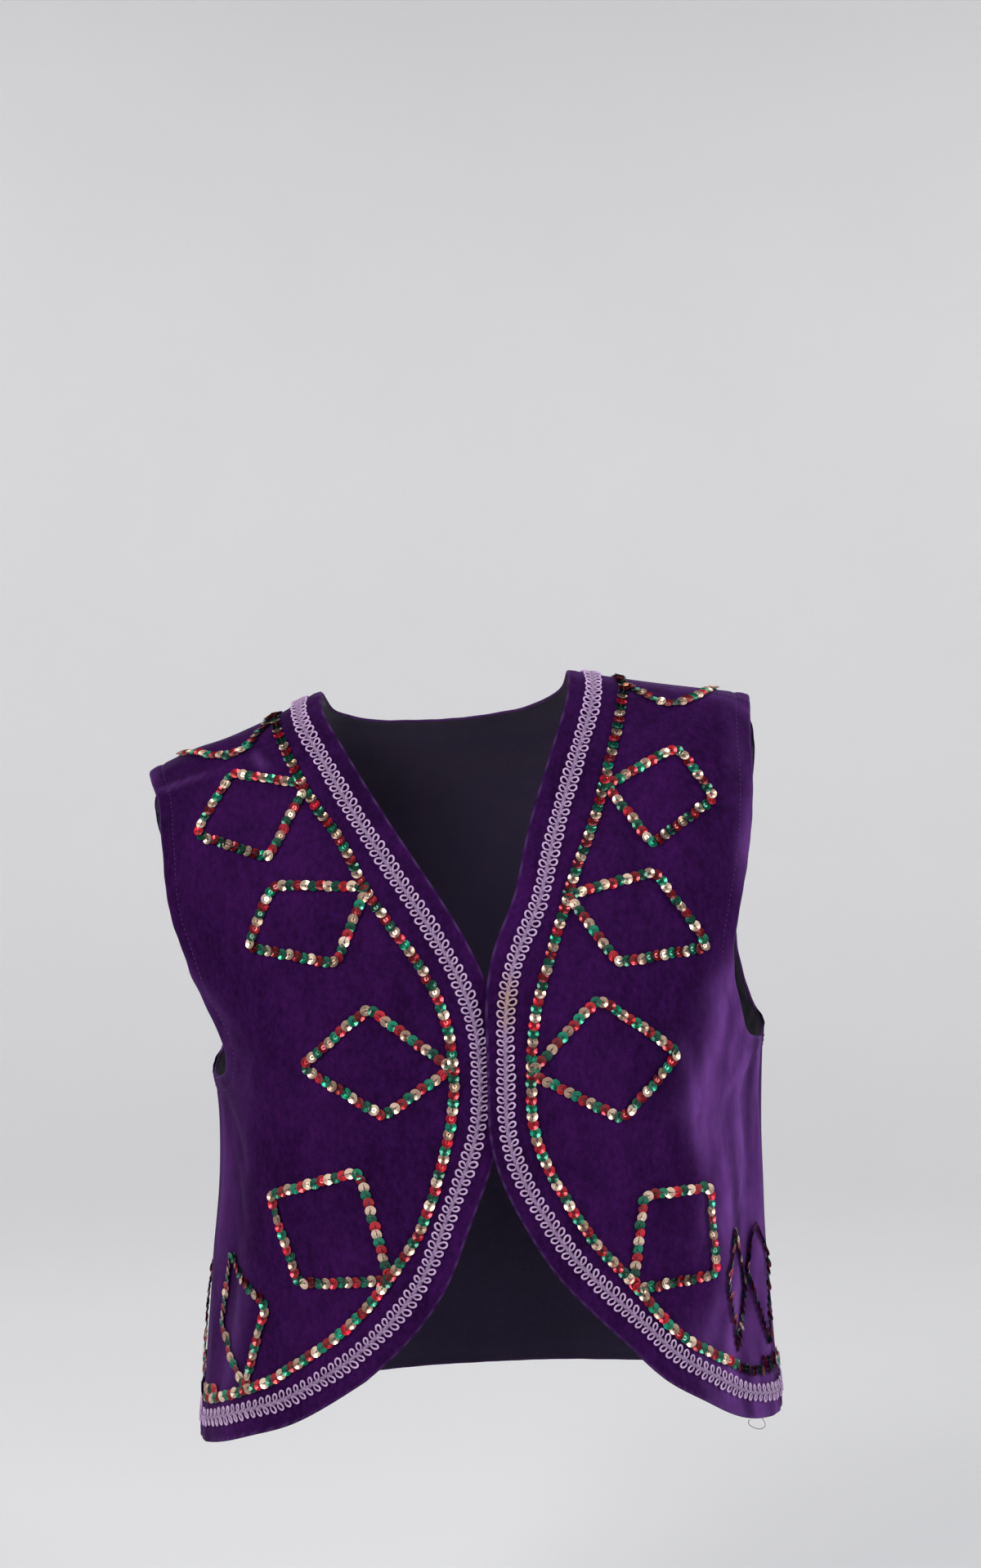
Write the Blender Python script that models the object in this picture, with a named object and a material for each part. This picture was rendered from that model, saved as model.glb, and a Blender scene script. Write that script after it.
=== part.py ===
"""A cropped sleeveless vest: two fronts, a back and the braid sewn along its edges.

Metres, +Z up.  The front of the vest faces -Y and its wearer's left is +X.  The
origin lies midway between the neck ends of the two shoulder seams.

The cloth follows a general figure made of level rings.  A place on the figure is
an angle round the ring (0 at the centre front, 90 degrees at the wearer's left
side or shoulder, 180 at the centre back) and a height below the shoulders.  The
cut of every piece is drawn on the figure in real centimetres, then the figure is
bent a little to one side, as the worn vest is.
"""

import bpy
import numpy as np

CM = 0.01
MM = 0.001

# cloth and braid
WALL = 2.0 * MM
SEAM_GAP = 0.4 * MM
BRAID_LIFT = 0.7 * MM
BRAID_WALL = 1.1 * MM
BRAID_NEAR = 6.4 * MM
BRAID_WIDE = 9.4 * MM

# grids
ARM_ROWS = 20
SIDE_ROWS = 16
FRONT_COLUMNS = 16
SHOULDER_COLUMNS = 9
NECK_COLUMNS = 12
BRAID_COLUMNS = 3
BRAID_STEP = 7.0 * MM
HEM_BRAID_STEPS = 66
MARCH_STEP = 1.5 * MM

# points of a drawn line, closer together near its shoulder end by this power
LINE_POINTS = 600
SHOULDER_CROWDING = 1.5
ARMHOLE_POINTS = 400

# plain finishes of the solids
VELVET = (0.055, 0.012, 0.12, 1.0)
VELVET_ROUGHNESS = 0.8
LAVENDER = (0.48, 0.32, 0.66, 1.0)
BRAID_ROUGHNESS = 0.6

# angle round the figure of the side seams and the shoulder seams, degrees
SIDE_SEAM = 78.0
SHOULDER_SEAM = 90.0

# the cloth's length per radian round the figure at each seam
SIDE_RADIUS = 10.5 * CM
SHOULDER_RADIUS = 3.2 * CM

# half the gap at a seam, as an angle
HALF_SIDE_GAP = 0.5 * SEAM_GAP / SIDE_RADIUS
HALF_SHOULDER_GAP = 0.5 * SEAM_GAP / SHOULDER_RADIUS

# angle that a front's hem line may reach past the side seam before its braid is cut,
# and the angle within which a braid row is merged with the seam's own, radians
HEM_REACH = np.radians(86.0)
SEAM_MERGE = 0.02

# how much fuller than an ellipse the rings are between centre and side
RING_FULLNESS = 0.2

# rings of the figure, centimetres: height, half width, depth to front, depth to back
RINGS = np.array([
    (0.0, 6.6, 3.2, 3.2),
    (-1.0, 10.1, 3.9, 4.0),
    (-2.0, 13.6, 4.7, 4.8),
    (-2.7, 15.8, 5.1, 5.3),
    (-3.4, 17.1, 5.5, 5.7),
    (-5.0, 18.1, 6.4, 6.7),
    (-7.0, 18.1, 7.3, 7.6),
    (-10.0, 17.4, 8.5, 8.6),
    (-13.5, 16.2, 9.5, 9.3),
    (-17.0, 15.1, 10.2, 9.5),
    (-21.0, 14.4, 10.5, 9.3),
    (-26.0, 14.4, 10.5, 9.0),
    (-31.0, 14.7, 10.4, 8.9),
    (-36.0, 15.1, 10.4, 9.2),
    (-41.0, 15.7, 10.5, 9.7),
])

# bend of the worn vest: height cm, shift to the wearer's left cm, tilt degrees, lift per cm
BEND = np.array([
    (0.0, -2.45, 3.6, 0.0041),
    (-8.0, -1.55, 4.2, 0.0033),
    (-16.0, -0.35, 4.0, 0.0016),
    (-24.0, 0.0, 3.4, 0.0),
    (-32.0, -0.05, 2.9, 0.0),
    (-41.0, 0.1, 2.8, 0.0),
])

# edge of each front from the shoulder seam down to the rounded hem corner,
# centimetres: distance out from the centre line, height
RIGHT_EDGE = np.array([
    (6.6, 0.0),
    (6.45, -0.9),
    (5.75, -2.5),
    (4.75, -4.5),
    (3.8, -6.4),
    (2.3, -9.3),
    (1.35, -11.2),
    (0.4, -13.4),
    (-0.3, -15.6),
    (-0.6, -18.0),
    (-0.6, -20.5),
    (-0.3, -23.0),
    (0.45, -25.3),
    (1.2, -27.3),
    (1.9, -29.2),
    (3.0, -31.1),
    (4.5, -32.8),
    (6.1, -34.2),
])
LEFT_EDGE = np.array([
    (6.6, 0.0),
    (6.4, -1.2),
    (5.8, -2.8),
    (4.95, -4.7),
    (4.05, -6.7),
    (3.0, -9.3),
    (2.3, -11.1),
    (1.1, -13.2),
    (0.35, -15.2),
    (0.05, -17.5),
    (0.0, -20.0),
    (0.05, -22.5),
    (0.75, -25.0),
    (2.0, -27.4),
    (3.3, -29.4),
    (5.1, -31.4),
    (7.1, -33.4),
])

# rest of each front hem, from the end of the edge table to the side seam
RIGHT_HEM = np.array([
    (6.1, -34.2),
    (8.3, -35.6),
    (10.2, -36.6),
    (11.8, -37.2),
    (13.4, -37.9),
    (14.9, -38.6),
])
LEFT_HEM = np.array([
    (7.1, -33.4),
    (8.9, -35.2),
    (10.8, -36.5),
    (12.6, -37.7),
    (13.7, -38.2),
    (14.9, -38.6),
])

# armhole edges from the shoulder tip to the underarm, centimetres as above
RIGHT_ARMHOLE = np.array([
    (15.8, -2.7),
    (15.35, -3.8),
    (15.1, -5.6),
    (15.1, -8.0),
    (15.15, -10.3),
    (14.85, -12.3),
    (14.4, -14.4),
    (13.8, -16.4),
    (13.35, -18.0),
    (13.5, -19.2),
    (14.3, -19.7),
])
LEFT_ARMHOLE = np.array([
    (15.8, -2.7),
    (15.45, -4.0),
    (15.2, -6.0),
    (14.8, -8.5),
    (14.2, -10.7),
    (13.3, -13.1),
    (12.7, -15.0),
    (12.6, -16.8),
    (12.95, -18.4),
    (13.4, -19.3),
    (14.3, -19.7),
])
# back armhole edge from the shoulder tip to the underarm: angle round the figure, height
BACK_ARMHOLE = np.array([
    (90.0, -2.7),
    (105.0, -3.0),
    (114.0, -3.8),
    (120.0, -5.2),
    (122.5, -7.5),
    (122.0, -10.5),
    (119.0, -13.5),
    (112.5, -16.4),
    (101.0, -18.6),
    (78.0, -19.7),
])

# back neck edge from the shoulder seam to the centre back, centimetres
BACK_NECK = np.array([
    (6.6, 0.0),
    (6.4, -0.6),
    (5.6, -1.15),
    (4.0, -1.6),
    (2.0, -1.8),
    (0.0, -1.85),
])

# soft folds, each along a line: start angle degrees, start height cm, end angle,
# end height, half width cm, rise mm (less than nothing for a trough)
FOLDS = np.array([
    (65.0, -21.5, 61.0, -37.0, 0.9, -2.4),
    (73.0, -22.5, 72.0, -38.6, 0.9, 1.8),
    (54.0, -22.5, 51.0, -33.0, 1.2, 1.5),
    (66.0, -20.8, 46.0, -25.0, 1.0, -1.2),
    (-66.0, -21.5, -63.0, -35.0, 1.0, -2.0),
    (-56.0, -22.5, -54.0, -34.0, 1.2, 1.5),
    (-75.0, -26.0, -73.0, -38.6, 1.0, 1.6),
    (-74.0, -3.4, -40.0, -4.8, 0.9, -1.6),
    (100.0, -21.5, 97.0, -37.0, 1.1, -2.2),
    (111.0, -23.0, 109.0, -37.0, 1.2, 1.6),
    (148.0, -24.0, 152.0, -38.6, 1.5, -2.0),
    (167.0, -26.0, 170.0, -38.6, 1.5, 1.6),
    (192.0, -25.0, 190.0, -38.6, 1.5, 1.2),
    (209.0, -23.0, 206.0, -38.6, 1.5, -1.9),
    (250.0, -22.5, 252.0, -36.0, 1.2, 1.5),
    (260.0, -21.5, 262.0, -36.0, 1.1, -2.2),
    (132.0, -9.0, 160.0, -12.0, 1.5, -1.4),
    (226.0, -9.5, 203.0, -13.0, 1.5, -1.1),
    (-90.0, -0.4, -90.0, -1.8, 7.0, -2.6),
])

# centimetres of cloth per radian that the folds and the back armhole are drawn with
FOLD_RADIUS = 10.0
ARMHOLE_RADIUS = 12.0

UNDERARM_HEIGHT = -19.7
BACK_HEM_HEIGHT = -38.6
EDGE_SPLIT_HEIGHT = -18.0

# where the fronts meet, the wearer's right one lies under the left one; the rest in cm
TUCK_DEPTH = 4.2 * MM
TUCK_HEIGHT = -19.3
TUCK_HALF_HEIGHT = 8.0
TUCK_START = -0.5
TUCK_HALF_WIDTH = 3.2


def spline(knots, values, places):
    """Natural cubic curve through the values, read at the places."""
    gaps = np.diff(knots)
    count = len(knots)
    system = np.eye(count)
    right = np.zeros((count, values.shape[1]))
    slopes = np.diff(values, axis=0) / gaps[:, None]
    for i in range(1, count - 1):
        system[i, i - 1] = gaps[i - 1]
        system[i, i] = 2.0 * (gaps[i - 1] + gaps[i])
        system[i, i + 1] = gaps[i]
        right[i] = 6.0 * (slopes[i] - slopes[i - 1])
    bends = np.linalg.solve(system, right)
    span = np.clip(np.searchsorted(knots, places, side="right") - 1, 0, count - 2)
    gap = gaps[span][..., None]
    low = ((places - knots[span]) / gaps[span])[..., None]
    high = 1.0 - low
    line = high * values[span] + low * values[span + 1]
    curve = (high**3 - high) * bends[span] + (low**3 - low) * bends[span + 1]
    return line + curve * gap**2 / 6.0


def by_height(table, height):
    """Columns of a table read at heights in centimetres."""
    rising = table[::-1]
    return np.moveaxis(spline(rising[:, 0], rising[:, 1:], np.asarray(height)), -1, 0)


def on_figure(places):
    """Points in centimetres, before the bend, of places (angle, height)."""
    angle, height = places[..., 0], places[..., 1]
    wide, front, back = by_height(RINGS, height)
    forward = np.cos(angle)
    depth = np.where(forward > 0.0, front, back) * (1.0 + RING_FULLNESS * np.sin(angle)**2)
    return np.stack([wide * np.sin(angle), -depth * forward, height], axis=-1)


def bent(points):
    """Points in metres after the bend to one side."""
    across, depth, height = points[..., 0], points[..., 1], points[..., 2]
    shift, tilt, lift = by_height(BEND, height)
    turn = np.radians(tilt)
    x = shift + across * np.cos(turn)
    z = height + across * np.sin(turn) + lift * across * np.abs(across)
    return np.stack([x, depth, z], axis=-1) * CM


def surface(places):
    """Points in metres of the cloth's outer face."""
    return bent(on_figure(places))


def slopes_at(places):
    """Change of the outer face per radian round and per centimetre of height."""
    step = 1e-4
    around = np.array([step, 0.0])
    up = np.array([0.0, step])
    by_angle = (surface(places + around) - surface(places - around)) / (2.0 * step)
    by_rise = (surface(places + up) - surface(places - up)) / (2.0 * step)
    return by_angle, by_rise


def unit(vectors):
    """The vectors at length one."""
    return vectors / np.linalg.norm(vectors, axis=-1, keepdims=True)


def outward(places):
    """Unit normals of the outer face, pointing away from the body."""
    by_angle, by_rise = slopes_at(places)
    return unit(np.cross(by_angle, by_rise))


def tuck(places):
    """Depth in metres that the right front lies in under the left one."""
    across = on_figure(places)[..., 0]
    beside = np.exp(-(np.minimum(across - TUCK_START, 0.0) / TUCK_HALF_WIDTH)**2)
    level = np.exp(-((places[..., 1] - TUCK_HEIGHT) / TUCK_HALF_HEIGHT)**4)
    return TUCK_DEPTH * beside * level


def no_tuck(places):
    """No depth, for pieces that lie flat on the figure."""
    return np.zeros(places.shape[:-1])


def folded(places):
    """Rise in metres of the soft folds."""
    rise = np.zeros(places.shape[:-1])
    for start_angle, start, end_angle, end, half_width, height in FOLDS:
        turn = places[..., 0] - np.radians(start_angle)
        turn = (turn + np.pi) % (2.0 * np.pi) - np.pi
        across = turn * FOLD_RADIUS
        up = places[..., 1] - start
        run = np.array([np.radians(end_angle - start_angle) * FOLD_RADIUS, end - start])
        length = np.linalg.norm(run)
        run = run / length
        along = (across * run[0] + up * run[1]) / length
        aside = across * run[1] - up * run[0]
        fade = np.exp(-((along - 0.5) / 0.5)**4)
        rise = rise + height * MM * fade * np.exp(-(aside / half_width)**2)
    return rise


def drawn(table, side, behind=False):
    """Dense places of a line given as distance from the centre line and height."""
    lengths = np.append(0.0, np.cumsum(np.linalg.norm(np.diff(table, axis=0), axis=1)))
    fine = lengths[-1] * np.linspace(0.0, 1.0, LINE_POINTS)**SHOULDER_CROWDING
    line = spline(lengths, table, fine)
    height = np.clip(line[:, 1], RINGS[-1, 0], 0.0)
    wide = by_height(RINGS, height)[0]
    angle = np.arcsin(np.clip(line[:, 0] / wide, -1.0, 1.0))
    if behind:
        angle = np.pi - angle
    return np.stack([side * angle, height], axis=-1)


def even(places, count):
    """The line again as count + 1 places at even distances along it."""
    steps = np.linalg.norm(np.diff(surface(places), axis=0), axis=1)
    run = np.append(0.0, np.cumsum(steps))
    wanted = np.linspace(0.0, run[-1], count + 1)
    return np.stack([np.interp(wanted, run, places[:, i]) for i in range(2)], axis=-1)


def straight(start, end, count):
    """Places on the figure in a straight line between two places."""
    share = np.linspace(0.0, 1.0, count + 1)[:, None]
    return np.asarray(start) * (1.0 - share) + np.asarray(end) * share


def set_back(line, toward, distance):
    """The line moved within the cloth by a distance, square to its own run."""
    moved = line.copy()
    left = distance
    while left > 1e-9:
        step = min(MARCH_STEP, left)
        by_angle, by_rise = slopes_at(moved)
        run = unit(np.gradient(surface(moved), axis=0))
        aside = toward * np.cross(outward(moved), run)
        base = np.stack([by_angle, by_rise], axis=-1)
        change = np.linalg.pinv(base) @ aside[..., None]
        moved = moved + step * change[..., 0]
        left -= step
    return moved


def drawn_by_angle(table):
    """Dense places of a line given as angle in degrees and height."""
    table = np.stack([np.radians(table[:, 0]), table[:, 1]], axis=-1)
    in_cm = table * np.array([ARMHOLE_RADIUS, 1.0])
    lengths = np.append(0.0, np.cumsum(np.linalg.norm(np.diff(in_cm, axis=0), axis=1)))
    return spline(lengths, table, np.linspace(0.0, lengths[-1], ARMHOLE_POINTS))


def front_armhole(table, side):
    """Front armhole line from the shoulder tip to the side seam."""
    line = even(drawn(table, 1.0), ARM_ROWS)
    line[0, 0] = np.radians(SHOULDER_SEAM) - HALF_SHOULDER_GAP
    line[-1] = (np.radians(SIDE_SEAM) - HALF_SIDE_GAP, UNDERARM_HEIGHT)
    line[:, 0] *= side
    return line


def back_armhole():
    """Back armhole line on the left side, from the shoulder tip to the side seam."""
    line = even(drawn_by_angle(BACK_ARMHOLE), ARM_ROWS)
    line[0, 0] = np.radians(SHOULDER_SEAM) + HALF_SHOULDER_GAP
    line[-1] = (np.radians(SIDE_SEAM) + HALF_SIDE_GAP, UNDERARM_HEIGHT)
    return line


def side_seam(angle, foot):
    """Side seam line from the underarm to the hem."""
    return straight((angle, UNDERARM_HEIGHT), (angle, foot), SIDE_ROWS)


def split_at_height(line, height):
    """The line in two parts, cut where it first reaches a height."""
    cut = int(np.argmax(line[:, 1] <= height))
    return line[:cut + 1], line[cut:]


def seamed(line, side):
    """The line with its shoulder end kept short of the shoulder seam."""
    limit = np.radians(SHOULDER_SEAM) - HALF_SHOULDER_GAP
    kept = line.copy()
    kept[:, 0] = side * np.minimum(side * kept[:, 0], limit)
    kept[0, 0] = side * limit
    return kept


def front_lines(edge, hem, arm, side):
    """The front edge, the outer edge and the last row of one front."""
    inner = seamed(drawn(edge, side), side)
    upper, lower = split_at_height(inner, EDGE_SPLIT_HEIGHT)
    inner = np.concatenate([even(upper, ARM_ROWS), even(lower, SIDE_ROWS)[1:]])
    bottom = drawn(hem, side)
    foot = (side * (np.radians(SIDE_SEAM) - HALF_SIDE_GAP), hem[-1, 1])
    bottom = bottom[side * bottom[:, 0] < side * foot[0]]
    bottom = even(np.vstack([bottom, foot]), FRONT_COLUMNS)
    outer = front_armhole(arm, side)
    outer = np.concatenate([outer, side_seam(foot[0], foot[1])[1:]])
    top = straight(inner[0], outer[0], FRONT_COLUMNS)
    return inner, outer, top, bottom


def filled(inner, outer, top, bottom):
    """Grid of places that blends smoothly between four joined lines."""
    rows = len(inner)
    columns = len(top)
    down = np.linspace(0.0, 1.0, rows)[:, None, None]
    across = np.linspace(0.0, 1.0, columns)[None, :, None]
    sides = (1.0 - across) * inner[:, None] + across * outer[:, None]
    ends = (1.0 - down) * top[None] + down * bottom[None]
    corners = (1.0 - down) * ((1.0 - across) * top[0] + across * top[-1])
    corners = corners + down * ((1.0 - across) * bottom[0] + across * bottom[-1])
    return sides + ends - corners


def front_grid(edge, hem, arm, side):
    """Grid of places of one front, rows from the shoulder to the hem."""
    return filled(*front_lines(edge, hem, arm, side))


def back_grid():
    """Grid of places of the back, from the right side round to the left."""
    left = back_armhole()
    seam = np.radians(SIDE_SEAM) + HALF_SIDE_GAP
    left = np.concatenate([left, side_seam(seam, BACK_HEM_HEIGHT)[1:]])
    neck = drawn(BACK_NECK, 1.0, True)
    limit = np.radians(SHOULDER_SEAM) + HALF_SHOULDER_GAP
    neck[:, 0] = np.maximum(neck[:, 0], limit)
    neck = even(neck, NECK_COLUMNS)
    shoulder = straight(left[0], neck[0], SHOULDER_COLUMNS)
    half_top = np.concatenate([shoulder, neck[1:]])
    far_half = half_top[::-1][1:]
    mirrored = np.stack([2.0 * np.pi - far_half[:, 0], far_half[:, 1]], axis=-1)
    top = np.concatenate([half_top, mirrored])
    right = np.stack([2.0 * np.pi - left[:, 0], left[:, 1]], axis=-1)
    bottom = straight(left[-1], right[-1], len(top) - 1)
    return filled(left, right, top, bottom)


def strip_grid(line, toward, start, end):
    """Grid of places of a braid strip beside an edge line."""
    offsets = np.linspace(start, end, BRAID_COLUMNS + 1)
    return np.stack([set_back(line, toward, offset) for offset in offsets], axis=1)


def front_braid_grid(edge, hem, side):
    """Braid strip of one front, from the shoulder seam round to the side seam."""
    inner = seamed(drawn(edge, side), side)
    bottom = drawn(hem, side)
    whole = np.concatenate([inner, bottom[1:]])
    above = whole[:, 1] > UNDERARM_HEIGHT
    whole = whole[above | (side * whole[:, 0] < HEM_REACH)]
    length = np.linalg.norm(np.diff(surface(whole), axis=0), axis=1).sum()
    whole = even(whole, int(length / BRAID_STEP))
    grid = strip_grid(whole, side, BRAID_NEAR, BRAID_NEAR + BRAID_WIDE)
    shoulder = np.radians(SHOULDER_SEAM) - HALF_SHOULDER_GAP
    grid[0, :, 0] = side * shoulder
    seam = np.radians(SIDE_SEAM) - HALF_SIDE_GAP
    above = grid[:, :, 1].max(axis=1) > UNDERARM_HEIGHT
    grid = grid[above | (np.abs(grid[:, :, 0]).max(axis=1) < seam)]
    end = grid[-1].copy()
    end[:, 0] = side * seam
    if np.abs(grid[-1, :, 0]).min() > seam - SEAM_MERGE:
        grid = grid[:-1]
    return np.concatenate([grid, end[None]])


def neck_braid_grid():
    """Braid strip of the back neck between the shoulder seams."""
    half = drawn(BACK_NECK, 1.0, True)
    mirrored = half[::-1][1:].copy()
    mirrored[:, 0] = 2.0 * np.pi - mirrored[:, 0]
    whole = np.concatenate([half, mirrored])
    length = np.linalg.norm(np.diff(surface(whole), axis=0), axis=1).sum()
    whole = even(whole, int(length / BRAID_STEP))
    grid = strip_grid(whole, -1.0, BRAID_NEAR, BRAID_NEAR + BRAID_WIDE)
    shoulder = np.radians(SHOULDER_SEAM) + HALF_SHOULDER_GAP
    grid[0, :, 0] = shoulder
    grid[-1, :, 0] = 2.0 * np.pi - shoulder
    return grid


def hem_braid_grid():
    """Braid strip of the back hem between the side seams."""
    seam = np.radians(SIDE_SEAM) + HALF_SIDE_GAP
    start = (seam, BACK_HEM_HEIGHT)
    end = (2.0 * np.pi - seam, BACK_HEM_HEIGHT)
    whole = straight(start, end, HEM_BRAID_STEPS)
    grid = strip_grid(whole, 1.0, BRAID_NEAR, BRAID_NEAR + BRAID_WIDE)
    grid[0, :, 0] = start[0]
    grid[-1, :, 0] = end[0]
    return grid


def material(name, colour, roughness):
    """A plain material."""
    made = bpy.data.materials.new(name)
    made.use_nodes = True
    shader = made.node_tree.nodes["Principled BSDF"]
    shader.inputs["Base Color"].default_value = colour
    shader.inputs["Roughness"].default_value = roughness
    made.diffuse_color = colour
    return made


def walled(name, grid, lift, wall, inset, finish):
    """One closed solid: an outer face on the grid, an inner face and a rim."""
    normals = outward(grid)
    outer = surface(grid) + normals * (lift + folded(grid) - inset(grid))[..., None]
    inner = outer - normals * wall
    rows, columns = grid.shape[:2]
    points = np.concatenate([outer.reshape(-1, 3), inner.reshape(-1, 3)])
    index = np.arange(rows * columns).reshape(rows, columns)
    under = rows * columns
    a, b = index[:-1, :-1].ravel(), index[:-1, 1:].ravel()
    c, d = index[1:, 1:].ravel(), index[1:, :-1].ravel()
    faces = [np.stack([a, d, c, b], axis=1)]
    faces.append(np.stack([a, b, c, d], axis=1) + under)
    ring = np.concatenate([index[0, :-1], index[:-1, -1], index[-1, :0:-1], index[:0:-1, 0]])
    after = np.roll(ring, -1)
    faces.append(np.stack([ring, after, after + under, ring + under], axis=1))
    faces = np.concatenate(faces)
    corner = points[faces[0]]
    facing = np.cross(corner[1] - corner[0], corner[3] - corner[0])
    if np.dot(facing, normals[0, 0]) < 0.0:
        faces = faces[:, ::-1]
    mesh = bpy.data.meshes.new(name)
    mesh.from_pydata(points.tolist(), [], faces.tolist())
    mesh.validate()
    made = bpy.data.objects.new(name, mesh)
    bpy.context.scene.collection.objects.link(made)
    mesh.materials.append(finish)
    return made


def panel(name, grid, inset):
    """One velvet piece."""
    walled(name, grid, 0.0, WALL, inset, material(name, VELVET, VELVET_ROUGHNESS))


def braid(name, grid, inset):
    """One run of braid, lying just off its panel."""
    finish = material(name, LAVENDER, BRAID_ROUGHNESS)
    walled(name, grid, BRAID_LIFT + BRAID_WALL, BRAID_WALL, inset, finish)


def main():
    """Build every piece."""
    for old in list(bpy.data.objects):
        bpy.data.objects.remove(old, do_unlink=True)
    panel("front_right", front_grid(RIGHT_EDGE, RIGHT_HEM, RIGHT_ARMHOLE, -1.0), tuck)
    panel("front_left", front_grid(LEFT_EDGE, LEFT_HEM, LEFT_ARMHOLE, 1.0), no_tuck)
    panel("back", back_grid(), no_tuck)
    braid("braid_front_right", front_braid_grid(RIGHT_EDGE, RIGHT_HEM, -1.0), tuck)
    braid("braid_front_left", front_braid_grid(LEFT_EDGE, LEFT_HEM, 1.0), no_tuck)
    braid("braid_back_neck", neck_braid_grid(), no_tuck)
    braid("braid_back_hem", hem_braid_grid(), no_tuck)


main()
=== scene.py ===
"""The looks of a cropped velvet vest: velvet panels, looped gimp braid, sequin rows and sewing."""

import bpy
import numpy as np
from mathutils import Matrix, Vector


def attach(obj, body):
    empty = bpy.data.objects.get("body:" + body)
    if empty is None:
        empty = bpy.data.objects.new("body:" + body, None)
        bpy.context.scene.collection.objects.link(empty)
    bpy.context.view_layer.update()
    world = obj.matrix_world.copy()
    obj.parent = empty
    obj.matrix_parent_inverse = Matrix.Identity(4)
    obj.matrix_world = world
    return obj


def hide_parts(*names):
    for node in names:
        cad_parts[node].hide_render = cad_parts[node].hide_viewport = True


bl_info = {
    "name": "Velvet Vest",
    "version": (1, 0, 0),
    "blender": (4, 5, 0),
    "location": "3D View > Sidebar > Vest",
    "description": "Velvet, gimp braid, sequins and sewing of a cropped vest, on its packed frame",
    "category": "Object",
}

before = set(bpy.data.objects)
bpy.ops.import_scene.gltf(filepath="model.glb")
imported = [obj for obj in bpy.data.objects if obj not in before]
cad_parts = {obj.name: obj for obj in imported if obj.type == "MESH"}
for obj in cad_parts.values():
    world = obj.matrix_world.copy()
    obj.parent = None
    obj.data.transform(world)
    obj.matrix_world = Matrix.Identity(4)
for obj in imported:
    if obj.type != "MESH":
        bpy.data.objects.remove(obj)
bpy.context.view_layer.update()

CM = 0.01
MM = 0.001

# the figure, the bend and the cut are those of the solids, but the panels meet at the seams
SIDE_SEAM = np.radians(78.0)
SHOULDER_SEAM = np.radians(90.0)
SIDE_RADIUS = 10.5 * CM
SHOULDER_RADIUS = 3.2 * CM
HALF_SIDE_GAP = 0.01 * MM / SIDE_RADIUS
HALF_SHOULDER_GAP = 0.01 * MM / SHOULDER_RADIUS
RING_FULLNESS = 0.2
UNDERARM_HEIGHT = -19.7
BACK_HEM_HEIGHT = -38.6
EDGE_SPLIT_HEIGHT = -18.0
FOLD_CM_PER_RADIAN = 10.0

# limits in cm of height and rounds for finding the place under a point, points worked on at
# once, steps of a table read as a curve, the cut lines' places, how far they crowd toward the
# shoulder, and centimetres that a radian and a centimetre count for along an armhole
LOWEST, HIGHEST = -40.8, -0.02
PRESS_ROUNDS = 6
POINTS_AT_ONCE = 4000
TABLE_STEPS = 300
LINE_POINTS = 900
SHOULDER_CROWDING = 1.5
ARMHOLE_POINTS = 600
ARMHOLE_STRETCH = np.array([12.0, 1.0])
EDGE_STEPS, SHORT_EDGE_STEPS, HEM_STEPS = 420, 240, 500

# rows and columns of the panels' grids at fineness one, and how they crowd at their ends
ARM_ROWS, SIDE_ROWS, FRONT_COLUMNS = 20, 16, 18
NECK_COLUMNS, SHOULDER_COLUMNS = 14, 10
FRONT_CROWDING, BACK_CROWDING = 0.62, 0.35

# face of the velvet: slow waves (rise, then turns per radian, turns per cm and share of the
# piece's own shift), dips at the seams, and the edges' puckers, roll and pressed hem line
WAVE_RISE = 0.22 * MM
WAVES = ((9.0, 0.31, 1.0), (-3.0, 0.83, 2.0), (17.0, -0.6, 3.0))
SEAM_DIP, SEAM_HALF_WIDTH = 0.9 * MM, 1.5
SIDE_MM_PER_RADIAN, SHOULDER_MM_PER_RADIAN = 105.0, 42.0
SHOULDER_FOOT = -3.4
SEAM_FADE = 4.0
PUCKER_RISE = 0.13 * MM
BRAIDED_PUCKER_REACH, PLAIN_PUCKER_REACH = 9.0, 7.0
ROLL_RISE, ROLL_MIDDLE, ROLL_HALF_WIDTH = 0.35 * MM, 3.0, 2.6
HEM_LINE_DIP, HEM_LINE_INSET, HEM_LINE_HALF_WIDTH = 0.55 * MM, 7.0, 0.9
# painted highlight on the free edges, with the pile spread open there: its reach in mm
EDGE_SPREAD_AND_HIGHLIGHT_REACH = 0.35

# painted sheen, the pile painted pale on the sides: degrees round at which it starts and how pale
# it gets on each piece, degrees that the border moves out above a height in cm, softness of the
# border in degrees, what is left of the pale over a height in cm, and the steepest power taken
LEFT_PAINTED_SHEEN, RIGHT_PAINTED_SHEEN, BACK_PAINTED_SHEEN = (47.0, 1.0), (57.0, 0.2), (60.0, 0.5)
PAINTED_SHEEN_LEVEL, PAINTED_SHEEN_DROP = -15.0, 9.0
PAINTED_SHEEN_BLUR, BACK_PAINTED_SHEEN_BLUR, BACK_PAINTED_SHEEN_SHIFT = 1.8, 5.0, 50.0
SHOULDER_PAINTED_SHEEN, SHOULDER_PAINTED_SHEEN_LEVEL = 0.3, -7.0
STEEPEST = 40.0

# start of the back's slow sines
BACK_SEED = 4.4

# the shell's closed rim: steps from face to wrong side, how little it bulges at the seams, and
# what counts as lying on a seam (radians, radians, cm over the underarm, cm below the crown)
RIM_STEPS = 6
SEAM_BULGE = 0.05
ON_SIDE, ON_SHOULDER = 0.006, 0.02
OVER_UNDERARM, SHOULDER_END = 0.2, -2.75
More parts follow.
